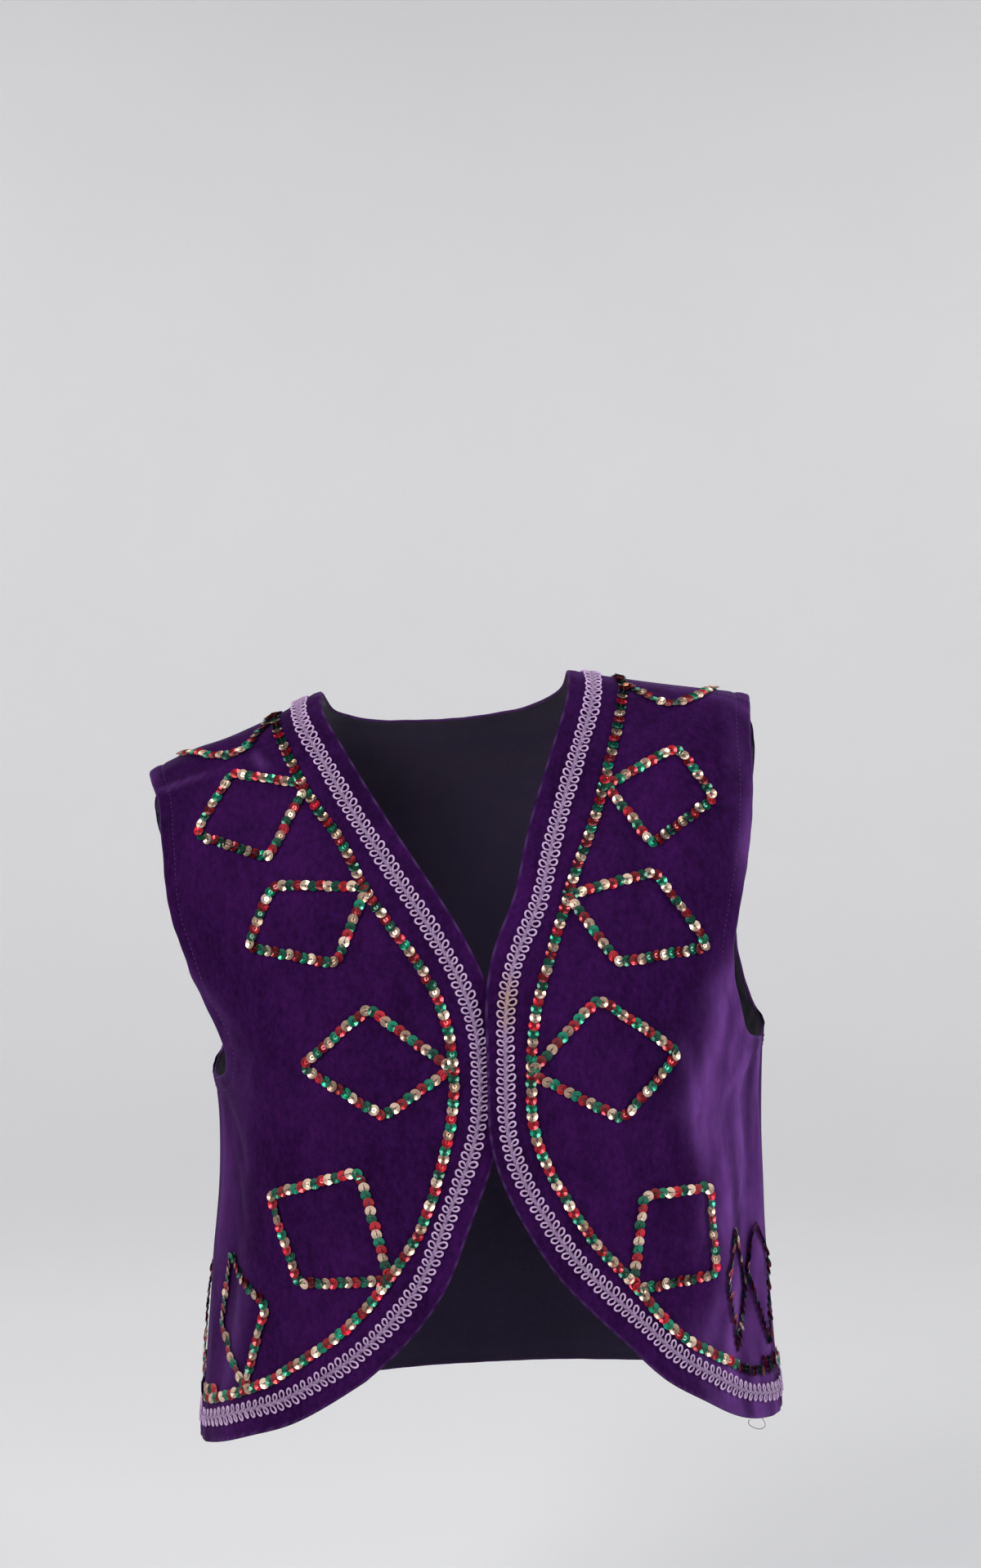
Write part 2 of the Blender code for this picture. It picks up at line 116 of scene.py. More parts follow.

# the gimp: curl and lean of its loops, how far round (radians) each border is turned from
# the middle so that the loops take turns, how far their inner bows cross the middle, the
# heart strands' place beside it, how dark the heart's painted shade is, the strip's lift off
# the cloth and its gap to a seam, how far the edge's kinks are averaged out, how uneven the
# loops are, the places along a loop and along a strand for each loop, and the sides of a yarn
LOOP_CURL = 2.42 * MM
LOOP_LEAN = 1.25 * MM
LOOP_TURN = 1.2
CROSSING = 0.3 * MM
HEART_ASIDE = 0.55 * MM
HEART_SHADE = 0.5
GIMP_LIFT, GIMP_END_GAP = 0.1 * MM, 0.7 * MM
GIMP_SOFTENING = 4
UNEVEN = 0.05
LOOP_STEPS, HEART_STEPS = 18, 6
YARN_SIDES = 6

# one sequin: corners round it, and the rings of its section as share of the radius, height mm
# and share of the facets
CUP_SIDES = 14
CUP_SECTION = (
    (0.15, 0.0, 0.0),
    (0.44, 0.02, 0.0),
    (1.0, 0.6, 1.0),
    (0.44, -0.06, 0.0),
)

# a row of sequins: lift of the gold ones and how much lower each next colour lies (mm), tip
# along the row, its spread and the roll's (degrees), spread of the shift aside, and how far
# the tones lean to the dark end
SEQUIN_LIFT, COLOUR_STEP = 0.85, 0.05
TIP, TIP_SPREAD, ROLL_SPREAD = 11.0, 7.0, 28.0
SHIFT_SPREAD = 0.7 * MM
TONE_POWER = 1.7

# rings of sequins: what is cut off at a corner, places a side, the gap that shows where a seam
# cuts a ring, and how far from the shoulder seam it ends (radians)
CORNER_CUT, CORNER_STEPS = 1.8 * MM, 24
RING_GAP = 8.0 * MM
SEAM_CLEAR = 0.03

# long rows: distance and length of the second row at the side seam, gap to a seam, distance in
# from the back neck and hem, the height that parts side seam from shoulder seam, and the
# shoulder's radius there
SECOND_ROW_ASIDE, SECOND_ROW_RUN = 4.4 * MM, 22.0 * MM
ROW_END_GAP = 2.2 * MM
NECK_ROW_INSET, HEM_ROW_INSET = 25.5 * MM, 22.5 * MM
ROW_SPLIT_HEIGHT, ROW_SHOULDER_RADIUS = -19.0, 3.4 * CM

# the thread that holds a row: radius, sides, and its way from one sequin to the next as shares
# of the spacing and millimetres over the sequin's lift
HOLDING_THREAD = 0.17 * MM
THREAD_SIDES = 4
HOPS = np.array([0.0, 0.35, 0.66, 0.86])
HOP_RISE = np.array([0.05, 0.30, 0.95, 0.55])

# sequins that stand on edge toward the back on the left front: by how much, on the lozenges
# from which number on, and on how much of the long row before the side seam
TURNED = 0.5
TURNED_FROM = 5
TURNED_RUN = 46.0 * MM

# hem stitches of the armholes: distance in from the edge, from stitch to stitch, length, radius,
# lift, first stitch's share of a step, and the height of each stitch along itself
STITCH_INSET, STITCH_PITCH, STITCH_LENGTH = 7.0 * MM, 2.6 * MM, 1.7 * MM
STITCH_RADIUS = 0.16 * MM
STITCH_LIFT, STITCH_START = 0.05 * MM, 0.3
STITCH_RISE = np.array([-0.15, 0.12, 0.2, 0.12, -0.15]) * MM

# the loose thread: root's distance from the side seam, its depth in the cloth, steps, and its
# run as millimetres across, forward and up from the root
THREAD_ROOT = 29.4 * MM
THREAD_STEPS = 70
HALF_WALL = 0.95 * MM
THREAD_RUN = np.array([
    (0.0, 0.0, 0.7), (0.5, -0.3, -1.6), (1.6, -0.8, -4.1), (0.4, -1.0, -5.7), (-2.5, -1.0, -6.1),
    (-4.9, -0.7, -5.2), (-6.9, -0.4, -2.9), (-6.5, -0.2, -1.9), (-5.9, -0.2, -2.2),
])

# rings of the figure, centimetres: height, half width, depth to front, depth to back
RINGS = np.array([
    (0.0, 6.6, 3.2, 3.2), (-1.0, 10.1, 3.9, 4.0), (-2.0, 13.6, 4.7, 4.8), (-2.7, 15.8, 5.1, 5.3),
    (-3.4, 17.1, 5.5, 5.7), (-5.0, 18.1, 6.4, 6.7), (-7.0, 18.1, 7.3, 7.6),
    (-10.0, 17.4, 8.5, 8.6), (-13.5, 16.2, 9.5, 9.3), (-17.0, 15.1, 10.2, 9.5),
    (-21.0, 14.4, 10.5, 9.3), (-26.0, 14.4, 10.5, 9.0), (-31.0, 14.7, 10.4, 8.9),
    (-36.0, 15.1, 10.4, 9.2), (-41.0, 15.7, 10.5, 9.7),
])

# bend of the worn vest: height cm, shift to the wearer's left cm, tilt degrees, lift per cm
BEND = np.array([
    (0.0, -2.45, 3.6, 0.0041), (-8.0, -1.55, 4.2, 0.0033), (-16.0, -0.35, 4.0, 0.0016),
    (-24.0, 0.0, 3.4, 0.0), (-32.0, -0.05, 2.9, 0.0), (-41.0, 0.1, 2.8, 0.0),
])

# cut lines, centimetres: distance out from the centre line, height
RIGHT_EDGE = np.array([
    (6.6, 0.0), (6.45, -0.9), (5.75, -2.5), (4.75, -4.5), (3.8, -6.4), (2.3, -9.3), (1.35, -11.2),
    (0.4, -13.4), (-0.3, -15.6), (-0.6, -18.0), (-0.6, -20.5), (-0.3, -23.0), (0.45, -25.3),
    (1.2, -27.3), (1.9, -29.2), (3.0, -31.1), (4.5, -32.8), (6.1, -34.2),
])
LEFT_EDGE = np.array([
    (6.6, 0.0), (6.4, -1.2), (5.8, -2.8), (4.95, -4.7), (4.05, -6.7), (3.0, -9.3), (2.3, -11.1),
    (1.1, -13.2), (0.35, -15.2), (0.05, -17.5), (0.0, -20.0), (0.05, -22.5), (0.75, -25.0),
    (2.0, -27.4), (3.3, -29.4), (5.1, -31.4), (7.1, -33.4),
])
RIGHT_HEM = np.array([
    (6.1, -34.2), (8.3, -35.6), (10.2, -36.6), (11.8, -37.2), (13.4, -37.9), (14.9, -38.6),
])
LEFT_HEM = np.array([
    (7.1, -33.4), (8.9, -35.2), (10.8, -36.5), (12.6, -37.7), (13.7, -38.2), (14.9, -38.6),
])
RIGHT_ARMHOLE = np.array([
    (15.8, -2.7), (15.35, -3.8), (15.1, -5.6), (15.1, -8.0), (15.15, -10.3), (14.85, -12.3),
    (14.4, -14.4), (13.8, -16.4), (13.35, -18.0), (13.5, -19.2), (14.3, -19.7),
])
LEFT_ARMHOLE = np.array([
    (15.8, -2.7), (15.45, -4.0), (15.2, -6.0), (14.8, -8.5), (14.2, -10.7), (13.3, -13.1),
    (12.7, -15.0), (12.6, -16.8), (12.95, -18.4), (13.4, -19.3), (14.3, -19.7),
])
BACK_NECK = np.array([
    (6.6, 0.0), (6.4, -0.6), (5.6, -1.15), (4.0, -1.6), (2.0, -1.8), (0.0, -1.85),
])

# back armhole edge: angle round the figure in degrees, height cm
BACK_ARMHOLE = np.array([
    (90.0, -2.7), (105.0, -3.0), (114.0, -3.8), (120.0, -5.2), (122.5, -7.5), (122.0, -10.5),
    (119.0, -13.5), (112.5, -16.4), (101.0, -18.6), (78.0, -19.7),
])

# soft folds of the solids: start angle, start height cm, end angle, end height,
# half width cm, rise mm
FOLDS = np.array([
    (65.0, -21.5, 61.0, -37.0, 0.9, -2.4), (73.0, -22.5, 72.0, -38.6, 0.9, 1.8),
    (54.0, -22.5, 51.0, -33.0, 1.2, 1.5), (66.0, -20.8, 46.0, -25.0, 1.0, -1.2),
    (-66.0, -21.5, -63.0, -35.0, 1.0, -2.0), (-56.0, -22.5, -54.0, -34.0, 1.2, 1.5),
    (-75.0, -26.0, -73.0, -38.6, 1.0, 1.6), (-74.0, -3.4, -40.0, -4.8, 0.9, -1.6),
    (100.0, -21.5, 97.0, -37.0, 1.1, -2.2), (111.0, -23.0, 109.0, -37.0, 1.2, 1.6),
    (148.0, -24.0, 152.0, -38.6, 1.5, -2.0), (167.0, -26.0, 170.0, -38.6, 1.5, 1.6),
    (192.0, -25.0, 190.0, -38.6, 1.5, 1.2), (209.0, -23.0, 206.0, -38.6, 1.5, -1.9),
    (250.0, -22.5, 252.0, -36.0, 1.2, 1.5), (260.0, -21.5, 262.0, -36.0, 1.1, -2.2),
    (132.0, -9.0, 160.0, -12.0, 1.5, -1.4), (226.0, -9.5, 203.0, -13.0, 1.5, -1.1),
    (-90.0, -0.4, -90.0, -1.8, 7.0, -2.6),
])

# finer creases of the velvet, in the same columns, and how much deeper they are drawn
CREASE_DEPTH = 1.3
# how much paler the crease ridges are painted, as a painted highlight
CREASE_PAINTED_HIGHLIGHT = 0.35
CREASES = np.array([
    (52.1, -15.5, 52.1, -21.6, 0.32, 0.8), (52.1, -21.6, 55.1, -29.0, 0.34, 0.8),
    (67.7, -20.0, 53.0, -22.2, 0.3, 0.9), (40.5, -18.8, 47.6, -23.2, 0.34, 0.6),
    (47.6, -23.1, 50.0, -27.2, 0.34, 0.6), (65.6, -20.3, 61.0, -22.3, 0.28, 0.7),
    (61.0, -22.2, 64.3, -24.9, 0.28, 0.7), (64.3, -24.8, 60.0, -27.6, 0.28, 0.7),
    (72.8, -20.4, 73.3, -26.0, 0.26, 0.7), (-38.5, -2.8, -32.0, -3.7, 0.16, 0.8),
    (-46.0, -3.5, -62.0, -3.9, 0.14, 0.8), (-64.0, -3.05, -43.0, -3.2, 0.13, -0.9),
    (-70.0, -5.6, -84.0, -5.0, 0.3, 0.7), (58.0, -20.5, 44.0, -31.0, 0.45, -0.7),
    (69.0, -22.0, 66.0, -31.0, 0.35, -0.9), (74.5, -21.0, 69.0, -27.0, 0.3, -0.7),
    (48.0, -19.5, 56.0, -26.0, 0.4, 0.5), (62.0, -14.0, 55.0, -20.0, 0.5, 0.6),
    (60.0, -30.0, 52.0, -36.0, 0.4, 0.6), (75.0, -31.0, 74.0, -38.6, 0.35, -0.8),
    (-72.0, -20.5, -58.0, -24.5, 0.45, -0.9), (-70.0, -22.5, -55.0, -28.5, 0.4, -0.6),
    (-62.0, -16.0, -55.0, -21.0, 0.5, -0.7), (-66.0, -13.0, -56.0, -17.0, 0.4, 0.5),
    (-73.0, -22.0, -71.0, -30.0, 0.35, 0.7), (-58.0, -30.0, -64.0, -36.5, 0.4, 0.6),
    (-76.0, -33.0, -75.0, -38.6, 0.3, -0.8), (-84.0, -3.0, -62.0, -3.6, 0.4, 0.7),
    (-70.0, -4.2, -48.0, -5.6, 0.4, -0.5), (80.0, -2.6, 62.0, -3.4, 0.4, -0.5),
    (90.0, -21.0, 93.0, -30.0, 0.4, -0.8), (104.0, -20.0, 118.0, -25.0, 0.45, -0.7),
    (160.0, -28.0, 158.0, -38.6, 0.6, -0.6), (182.0, -22.0, 181.0, -36.0, 0.7, 0.6),
    (200.0, -27.0, 199.0, -38.6, 0.6, -0.7), (268.0, -21.0, 266.0, -30.0, 0.4, -0.8),
    (256.0, -20.0, 242.0, -25.0, 0.45, -0.7), (150.0, -3.4, 172.0, -4.0, 0.6, -0.6),
    (210.0, -3.4, 190.0, -4.2, 0.6, -0.5),
])

# where the fronts meet, the wearer's right one lies under the left one
TUCK_DEPTH = 4.2 * MM
TUCK_HEIGHT = -19.3
TUCK_HALF_HEIGHT = 8.0
TUCK_HALF_WIDTH = 3.2

# the long sequin row of each front: run down the edge mm, distance in from the edge mm
RIGHT_ROW = np.array([
    (0.0, 25.5), (50.0, 23.8), (82.0, 26.6), (108.0, 24.8), (142.0, 27.8), (185.0, 25.6),
    (225.0, 23.9), (265.0, 23.2), (298.0, 23.5), (337.0, 21.4), (376.0, 25.6), (405.0, 24.8),
    (450.0, 24.0), (490.0, 21.4), (560.0, 22.0),
])
LEFT_ROW = np.array([
    (0.0, 26.5), (45.0, 26.6), (88.0, 29.6), (125.0, 28.8), (155.0, 25.0), (190.0, 26.4),
    (213.0, 24.3), (245.0, 20.8), (272.0, 20.6), (310.0, 22.6), (350.0, 23.4), (385.0, 22.8),
    (408.0, 20.6), (440.0, 21.1), (475.0, 22.0), (535.0, 24.0),
])

# corners of the sequin diamonds: angle round the figure in degrees, height cm
RIGHT_DIAMONDS = (
    ((-90.0, -0.75), (-54.2, -1.42), (-45.0, -2.15), (-42.0, -2.55), (-44.5, -2.82), (-52.0, -2.62),
     (-71.8, -2.26), (-90.0, -2.2), (-108.2, -2.26), (-128.0, -2.62), (-136.0, -2.82),
     (-138.0, -2.5), (-125.8, -1.42)),
    ((-24.4, -4.9), (-39.2, -3.82), (-45.8, -6.47), (-32.4, -8.07)),
    ((-16.9, -10.2), (-32.6, -9.64), (-41.9, -12.4), (-25.6, -13.6)),
    ((-7.7, -19.12), (-21.3, -16.08), (-37.3, -18.65), (-21.1, -21.13)),
    ((-20.0, -29.2), (-26.8, -24.07), (-48.3, -25.3), (-39.6, -29.39)),
    ((-65.3, -28.8), (-48.9, -30.8), (-54.4, -34.9), (-67.3, -32.3)),
)
LEFT_DIAMONDS = (
    ((90.0, -0.75), (63.5, -0.98), (51.2, -1.74), (45.6, -2.45), (46.8, -2.73), (54.8, -2.56),
     (62.8, -2.4), (90.0, -2.2), (117.2, -2.4), (125.2, -2.56), (133.2, -2.73),
     (134.4, -2.45), (128.8, -1.74), (116.5, -0.98)),
    ((25.2, -6.35), (38.9, -5.02), (45.4, -7.63), (32.4, -9.34)),
    ((17.0, -11.45), (32.4, -10.85), (44.8, -14.52), (25.5, -14.7)),
    ((8.6, -19.56), (21.4, -16.5), (39.0, -19.37), (26.5, -22.04)),
    ((29.0, -30.35), (31.5, -26.05), (48.3, -26.09), (49.0, -30.23)),
    ((57.1, -28.5), (62.6, -31.5), (56.6, -34.4), (53.7, -31.0)),
    ((68.6, -28.7), (75.0, -31.2), (70.9, -34.8), (64.3, -30.9)),
)
BACK_DIAMONDS = (
    ((270.0, -30.2), (279.2, -33.2), (271.0, -36.0), (262.5, -33.1)),
)

# how much a diamond's corners are drawn out so that its rounded sides keep their place
DIAMOND_GROWTH = 1.05

# middle of the gimp: run down the edge mm, distance in from the edge mm
RIGHT_GIMP = np.array([
    (0.0, 11.1), (200.0, 11.1), (250.0, 10.4), (310.0, 11.0), (560.0, 11.1),
])
BACK_GIMP = np.array([
    (0.0, 11.1), (600.0, 11.1),
])
LEFT_GIMP = np.array([
    (0.0, 11.6), (180.0, 11.2), (235.0, 8.6), (285.0, 8.4), (335.0, 10.6), (535.0, 11.1),
])


def spline(knots, values, places):
    """Natural cubic curve through the values, read at the places."""
    gaps = np.diff(knots)
    count = len(knots)
    system = np.eye(count)
    right = np.zeros((count, values.shape[1]))
    slopes = np.diff(values, axis=0) / gaps[:, None]
    for i in range(1, count - 1):
        system[i, i - 1] = gaps[i - 1]
        system[i, i] = 2.0 * (gaps[i - 1] + gaps[i])
        system[i, i + 1] = gaps[i]
        right[i] = 6.0 * (slopes[i] - slopes[i - 1])
    bends = np.linalg.solve(system, right)
    span = np.clip(np.searchsorted(knots, places, side="right") - 1, 0, count - 2)
    gap = gaps[span][..., None]
    low = ((places - knots[span]) / gaps[span])[..., None]
    high = 1.0 - low
    line = high * values[span] + low * values[span + 1]
    curve = (high**3 - high) * bends[span] + (low**3 - low) * bends[span + 1]
    return line + curve * gap**2 / 6.0


def reached(points):
    """Distance along a run of points, from its start to each of them."""
    return np.append(0.0, np.cumsum(np.linalg.norm(np.diff(points, axis=0), axis=1)))


def by_height(table, height):
    """Columns of a table read at heights in centimetres."""
    rising = table[::-1]
    return np.moveaxis(spline(rising[:, 0], rising[:, 1:], np.asarray(height)), -1, 0)


def on_figure(places):
    """Places (angle, height) as points in centimetres before the bend.

    Across is the ring's half width times the sine of the angle.  Depth is the ring's depth
    times the cosine, made fuller by the square of the sine.
    """
    angle, height = places[..., 0], places[..., 1]
    wide, front, back = by_height(RINGS, height)
    forward = np.cos(angle)
    depth = np.where(forward > 0.0, front, back) * (1.0 + RING_FULLNESS * np.sin(angle)**2)
    return np.stack([wide * np.sin(angle), -depth * forward, height], axis=-1)


def surface(places):
    """Points in metres of the smooth cloth: the figure, tilted and shifted level by level."""
    points = on_figure(places)
    across, depth, height = points[..., 0], points[..., 1], points[..., 2]
    shift, tilt, lift = by_height(BEND, height)
    turn = np.radians(tilt)
    x = shift + across * np.cos(turn)
    z = height + across * np.sin(turn) + lift * across * np.abs(across)
    return np.stack([x, depth, z], axis=-1) * CM


def slopes_at(places):
    """Change of the smooth cloth per radian round and per centimetre of height."""
    step = 1e-4
    around = np.array([step, 0.0])
    up = np.array([0.0, step])
    by_angle = (surface(places + around) - surface(places - around)) / (2.0 * step)
    by_rise = (surface(places + up) - surface(places - up)) / (2.0 * step)
    return by_angle, by_rise


def from_front(angle):
    """An angle brought to between minus and plus half a turn from the middle of the front."""
    return (angle + np.pi) % (2.0 * np.pi) - np.pi


def unit(vectors):
    """The vectors at length one."""
    return vectors / np.maximum(np.linalg.norm(vectors, axis=-1, keepdims=True), 1e-12)


def outward(places):
    """Unit normals of the smooth cloth, pointing away from the body."""
    by_angle, by_rise = slopes_at(places)
    return unit(np.cross(by_angle, by_rise))


def tuck(places):
    """Depth in metres that the right front lies in under the left one."""
    across = on_figure(places)[..., 0]
    beside = np.exp(-(np.minimum(across + 0.5, 0.0) / TUCK_HALF_WIDTH)**2)
    level = np.exp(-((places[..., 1] - TUCK_HEIGHT) / TUCK_HALF_HEIGHT)**4)
    return TUCK_DEPTH * beside * level


def folded(places, table):
    """Rise in metres of the folds of a table.

    Each fold is a bell curve of the distance aside from its line, faded off beyond its ends.
    """
    rise = np.zeros(places.shape[:-1])
    for start_angle, start, end_angle, end, half_width, height in table:
        across = from_front(places[..., 0] - np.radians(start_angle)) * FOLD_CM_PER_RADIAN
        up = places[..., 1] - start
        run = np.array([np.radians(end_angle - start_angle) * FOLD_CM_PER_RADIAN, end - start])
        length = np.linalg.norm(run)
        run = run / length
        along = (across * run[0] + up * run[1]) / length
        aside = across * run[1] - up * run[0]
        fade = np.exp(-((along - 0.5) / 0.5)**4)
        rise = rise + height * MM * fade * np.exp(-(aside / half_width)**2)
    return rise


def drawn(table, side, behind=False):
    """Dense places of a line given as distance from the centre line and height."""
    lengths = reached(table)
    fine = lengths[-1] * np.linspace(0.0, 1.0, LINE_POINTS)**SHOULDER_CROWDING
    line = spline(lengths, table, fine)
    height = np.clip(line[:, 1], RINGS[-1, 0], 0.0)
    wide = by_height(RINGS, height)[0]
    angle = np.arcsin(np.clip(line[:, 0] / wide, -1.0, 1.0))
    if behind:
        angle = np.pi - angle
    return np.stack([side * angle, height], axis=-1)


def drawn_by_angle(table):
    """Dense places of a line given as angle in degrees and height."""
    table = np.stack([np.radians(table[:, 0]), table[:, 1]], axis=-1)
    lengths = reached(table * ARMHOLE_STRETCH)
    return spline(lengths, table, np.linspace(0.0, lengths[-1], ARMHOLE_POINTS))


def run_of(places):
    """Distance in metres along a line, from its start to each of its places."""
    return reached(surface(places))


def read_at(places, run, wanted):
    """Places of a line at wanted distances along it."""
    return np.stack([np.interp(wanted, run, places[:, i]) for i in range(2)], axis=-1)


def even(places, count):
    """The line again as count + 1 places at even distances along it."""
    run = run_of(places)
    return read_at(places, run, np.linspace(0.0, run[-1], count + 1))


def straight(start, end, count):
    """Places on the figure in a straight line between two places."""
    share = np.linspace(0.0, 1.0, count + 1)[:, None]
    return np.asarray(start) * (1.0 - share) + np.asarray(end) * share


def set_back(line, toward, distance, steps=10):
    """The line moved within the cloth by a distance, square to its own run."""
    moved = line.copy()
    stride = np.broadcast_to(np.asarray(distance) / steps, len(line))[:, None]
    for _ in range(steps):
        by_angle, by_rise = slopes_at(moved)
        run = unit(np.gradient(surface(moved), axis=0))
        aside = toward * np.cross(outward(moved), run)
        base = np.stack([by_angle, by_rise], axis=-1)
        moved = moved + stride * (np.linalg.pinv(base) @ aside[..., None])[..., 0]
    return moved


def softened(line, reach=12):
    """The line with its small kinks averaged out; its ends stay."""
    lead = 2.0 * line[0] - line[reach:0:-1]
    tail = 2.0 * line[-1] - line[-2:-reach - 2:-1]
    whole = np.concatenate([lead, line, tail])
    weights = np.hanning(2 * reach + 3)[1:-1]
    weights = weights / weights.sum()
    return np.stack([np.convolve(whole[:, i], weights, mode="valid") for i in range(2)], axis=-1)


def inset_by(table, line):
    """Distance in from the edge along a line, read from a table of run and distance."""
    run = run_of(line) / MM
    return np.interp(run, *wavy(table)) * MM


def wavy(table):
    """A table's smooth curve as dense runs and distances."""
    run = np.linspace(table[0, 0], table[-1, 0], TABLE_STEPS)
    return run, spline(table[:, 0], table[:, 1:], run)[:, 0]


def pressed(points, start):
    """Places whose cloth lies nearest the points, found from a rough start."""
    places = start.copy()
    for _ in range(PRESS_ROUNDS):
        by_angle, by_rise = slopes_at(places)
        base = np.stack([by_angle, by_rise], axis=-1)
        miss = (points - surface(places))[..., None]
        places = places + (np.linalg.pinv(base) @ miss)[..., 0]
        places[:, 1] = np.clip(places[:, 1], LOWEST, HIGHEST)
    return places


def seamed(line, side):
    """The line with its shoulder end kept short of the shoulder seam."""
    limit = SHOULDER_SEAM - HALF_SHOULDER_GAP
    kept = line.copy()
    kept[:, 0] = side * np.minimum(side * kept[:, 0], limit)
    kept[0, 0] = side * limit
    return kept


def filled(inner, outer, top, bottom, down, across):
    """Grid of places that blends between four joined lines.

    The sides are mixed by the share across and the ends by the share down, less the mix of
    the four corners.
    """
    down = down[:, None, None]
    across = across[None, :, None]
    sides = (1.0 - across) * inner[:, None] + across * outer[:, None]
    ends = (1.0 - down) * top[None] + down * bottom[None]
    corners = (1.0 - down) * ((1.0 - across) * top[0] + across * top[-1])
    corners = corners + down * ((1.0 - across) * bottom[0] + across * bottom[-1])
    return sides + ends - corners


def crowded(count, press):
    """Shares from 0 to 1, closer together near both ends."""
    share = np.linspace(0.0, 1.0, count + 1)
    return share - press * np.sin(2.0 * np.pi * share) / (2.0 * np.pi)


def nearest(points, line):
    """Distance of each point to a line of points, and how far along the line it is met."""
    run = reached(line)
    flat = points.reshape(-1, 3)
    distance = np.empty(len(flat))
    along = np.empty(len(flat))
    for part in np.array_split(np.arange(len(flat)), max(1, len(flat) // POINTS_AT_ONCE)):
        gap = flat[part, None] - line[None]
        far = np.einsum("ijk,ijk->ij", gap, gap)
        at = far.argmin(axis=1)
        distance[part] = np.sqrt(far[np.arange(len(part)), at])
        along[part] = run[at]
    return distance.reshape(points.shape[:-1]), along.reshape(points.shape[:-1])


class Panel:
    """One cut piece of velvet: its grid, its free edges and the height of its face."""

    def __init__(self, name, grid, free_edges, braided, tucked, seed, painted_sheen_spread):
        self.name = name
        self.grid = grid
        self.edges = [surface(even(line, EDGE_STEPS)) for line in free_edges]
        self.braided = braided
        self.tucked = tucked
        self.seed = seed
        self.pale_from, self.paleness = painted_sheen_spread

    def rise(self, places):
        """Height in metres of the face over the smooth cloth.

        The folds and creases, a slow wave, a dip at each seam, and along each free edge a
        soft roll, small puckers and, on an armhole, the pressed line of the hem stitch.
        """
        angle, height = places[..., 0], places[..., 1]
        rise = folded(places, FOLDS) + CREASE_DEPTH * folded(places, CREASES)
        first, second, third = (np.sin(turns * angle + climb * height + share * self.seed)
                                for turns, climb, share in WAVES)
        rise = rise + WAVE_RISE * (first * second + 0.6 * third)
        turn = np.abs(from_front(angle))
        aside = np.abs(turn - SIDE_SEAM) * SIDE_MM_PER_RADIAN
        on_side = 1.0 / (1.0 + np.exp((height - UNDERARM_HEIGHT) * SEAM_FADE))
        top = np.abs(turn - SHOULDER_SEAM) * SHOULDER_MM_PER_RADIAN
        on_top = 1.0 / (1.0 + np.exp((SHOULDER_FOOT - height) * SEAM_FADE))
        rise = rise - SEAM_DIP * on_side * np.exp(-(aside / SEAM_HALF_WIDTH)**2)
        rise = rise - SEAM_DIP * on_top * np.exp(-(top / SEAM_HALF_WIDTH)**2)
        points = surface(places)
        for line, braid in zip(self.edges, self.braided):
            distance, along = nearest(points, line)
            distance = distance / MM
            along = along / MM
            pucker = np.sin(along / 2.4 + 1.3 * np.sin(along / 17.0) + self.seed)
            pucker = pucker + 0.7 * np.sin(along / 4.1 + 2.0 * self.seed)
            reach = BRAIDED_PUCKER_REACH if braid else PLAIN_PUCKER_REACH
            rise = rise + PUCKER_RISE * pucker * np.exp(-(distance / reach)**2)
            roll = np.exp(-((distance - ROLL_MIDDLE) / ROLL_HALF_WIDTH)**2)
            rise = rise + ROLL_RISE * roll
            if not braid:
                pressed_line = np.exp(-((distance - HEM_LINE_INSET) / HEM_LINE_HALF_WIDTH)**2)
                rise = rise - HEM_LINE_DIP * pressed_line
        if self.tucked:
            rise = rise - tuck(places)
        return rise

    def painted_sheen(self, places):
        """Painted sheen: pile painted pale on the sides past a soft border, and on crease ridges.

        The border sways with the height and the pale part is streaked by two slow sines.
        """
        angle = from_front(places[..., 0])
        height = places[..., 1]
        turn = np.degrees(np.abs(angle))
        sway = 3.0 * np.sin(0.45 * height + self.seed)
        sway = sway + 2.0 * np.sin(1.1 * height + 2.0 * self.seed)
        border = self.pale_from + sway + PAINTED_SHEEN_DROP / (1.0 + np.exp(PAINTED_SHEEN_LEVEL - height))
        if self.name == "velvet_back":
            beyond = (border + BACK_PAINTED_SHEEN_SHIFT - turn) / BACK_PAINTED_SHEEN_BLUR
        else:
            beyond = (turn - border) / PAINTED_SHEEN_BLUR
        pale = 1.0 / (1.0 + np.exp(-np.clip(beyond, -STEEPEST, STEEPEST)))
        streaks = 0.62 + 0.20 * np.sin(angle * 23.0 + 2.2 * np.sin(0.31 * height + self.seed))
        streaks = streaks + 0.18 * np.sin(angle * 41.0 - 0.5 * height + 1.7 * np.sin(0.5 * height))
        below = 1.0 / (1.0 + np.exp((height - SHOULDER_PAINTED_SHEEN_LEVEL) * 0.9))
        pale = pale * (SHOULDER_PAINTED_SHEEN + (1.0 - SHOULDER_PAINTED_SHEEN) * below)
        # painted highlight along the crease ridges
        ridge = np.clip(CREASE_DEPTH * folded(places, CREASES) / MM, 0.0, 1.0)
        return self.paleness * pale * streaks + CREASE_PAINTED_HIGHLIGHT * ridge

    def edge_spread_and_highlight(self, places):
        """Painted rim highlight and spread pile: one on a free edge, gone within a millimetre."""
        points = surface(places)
        near = [nearest(points, line)[0] / MM for line in self.edges]
        return np.exp(-(np.min(near, axis=0) / EDGE_SPREAD_AND_HIGHLIGHT_REACH)**2)

    def face(self, places, lift=0.0):
        """Points of the face, raised by a lift in metres, and the smooth cloth's normals."""
        normals = outward(places)
        return surface(places) + normals * (self.rise(places) + lift)[..., None], normals


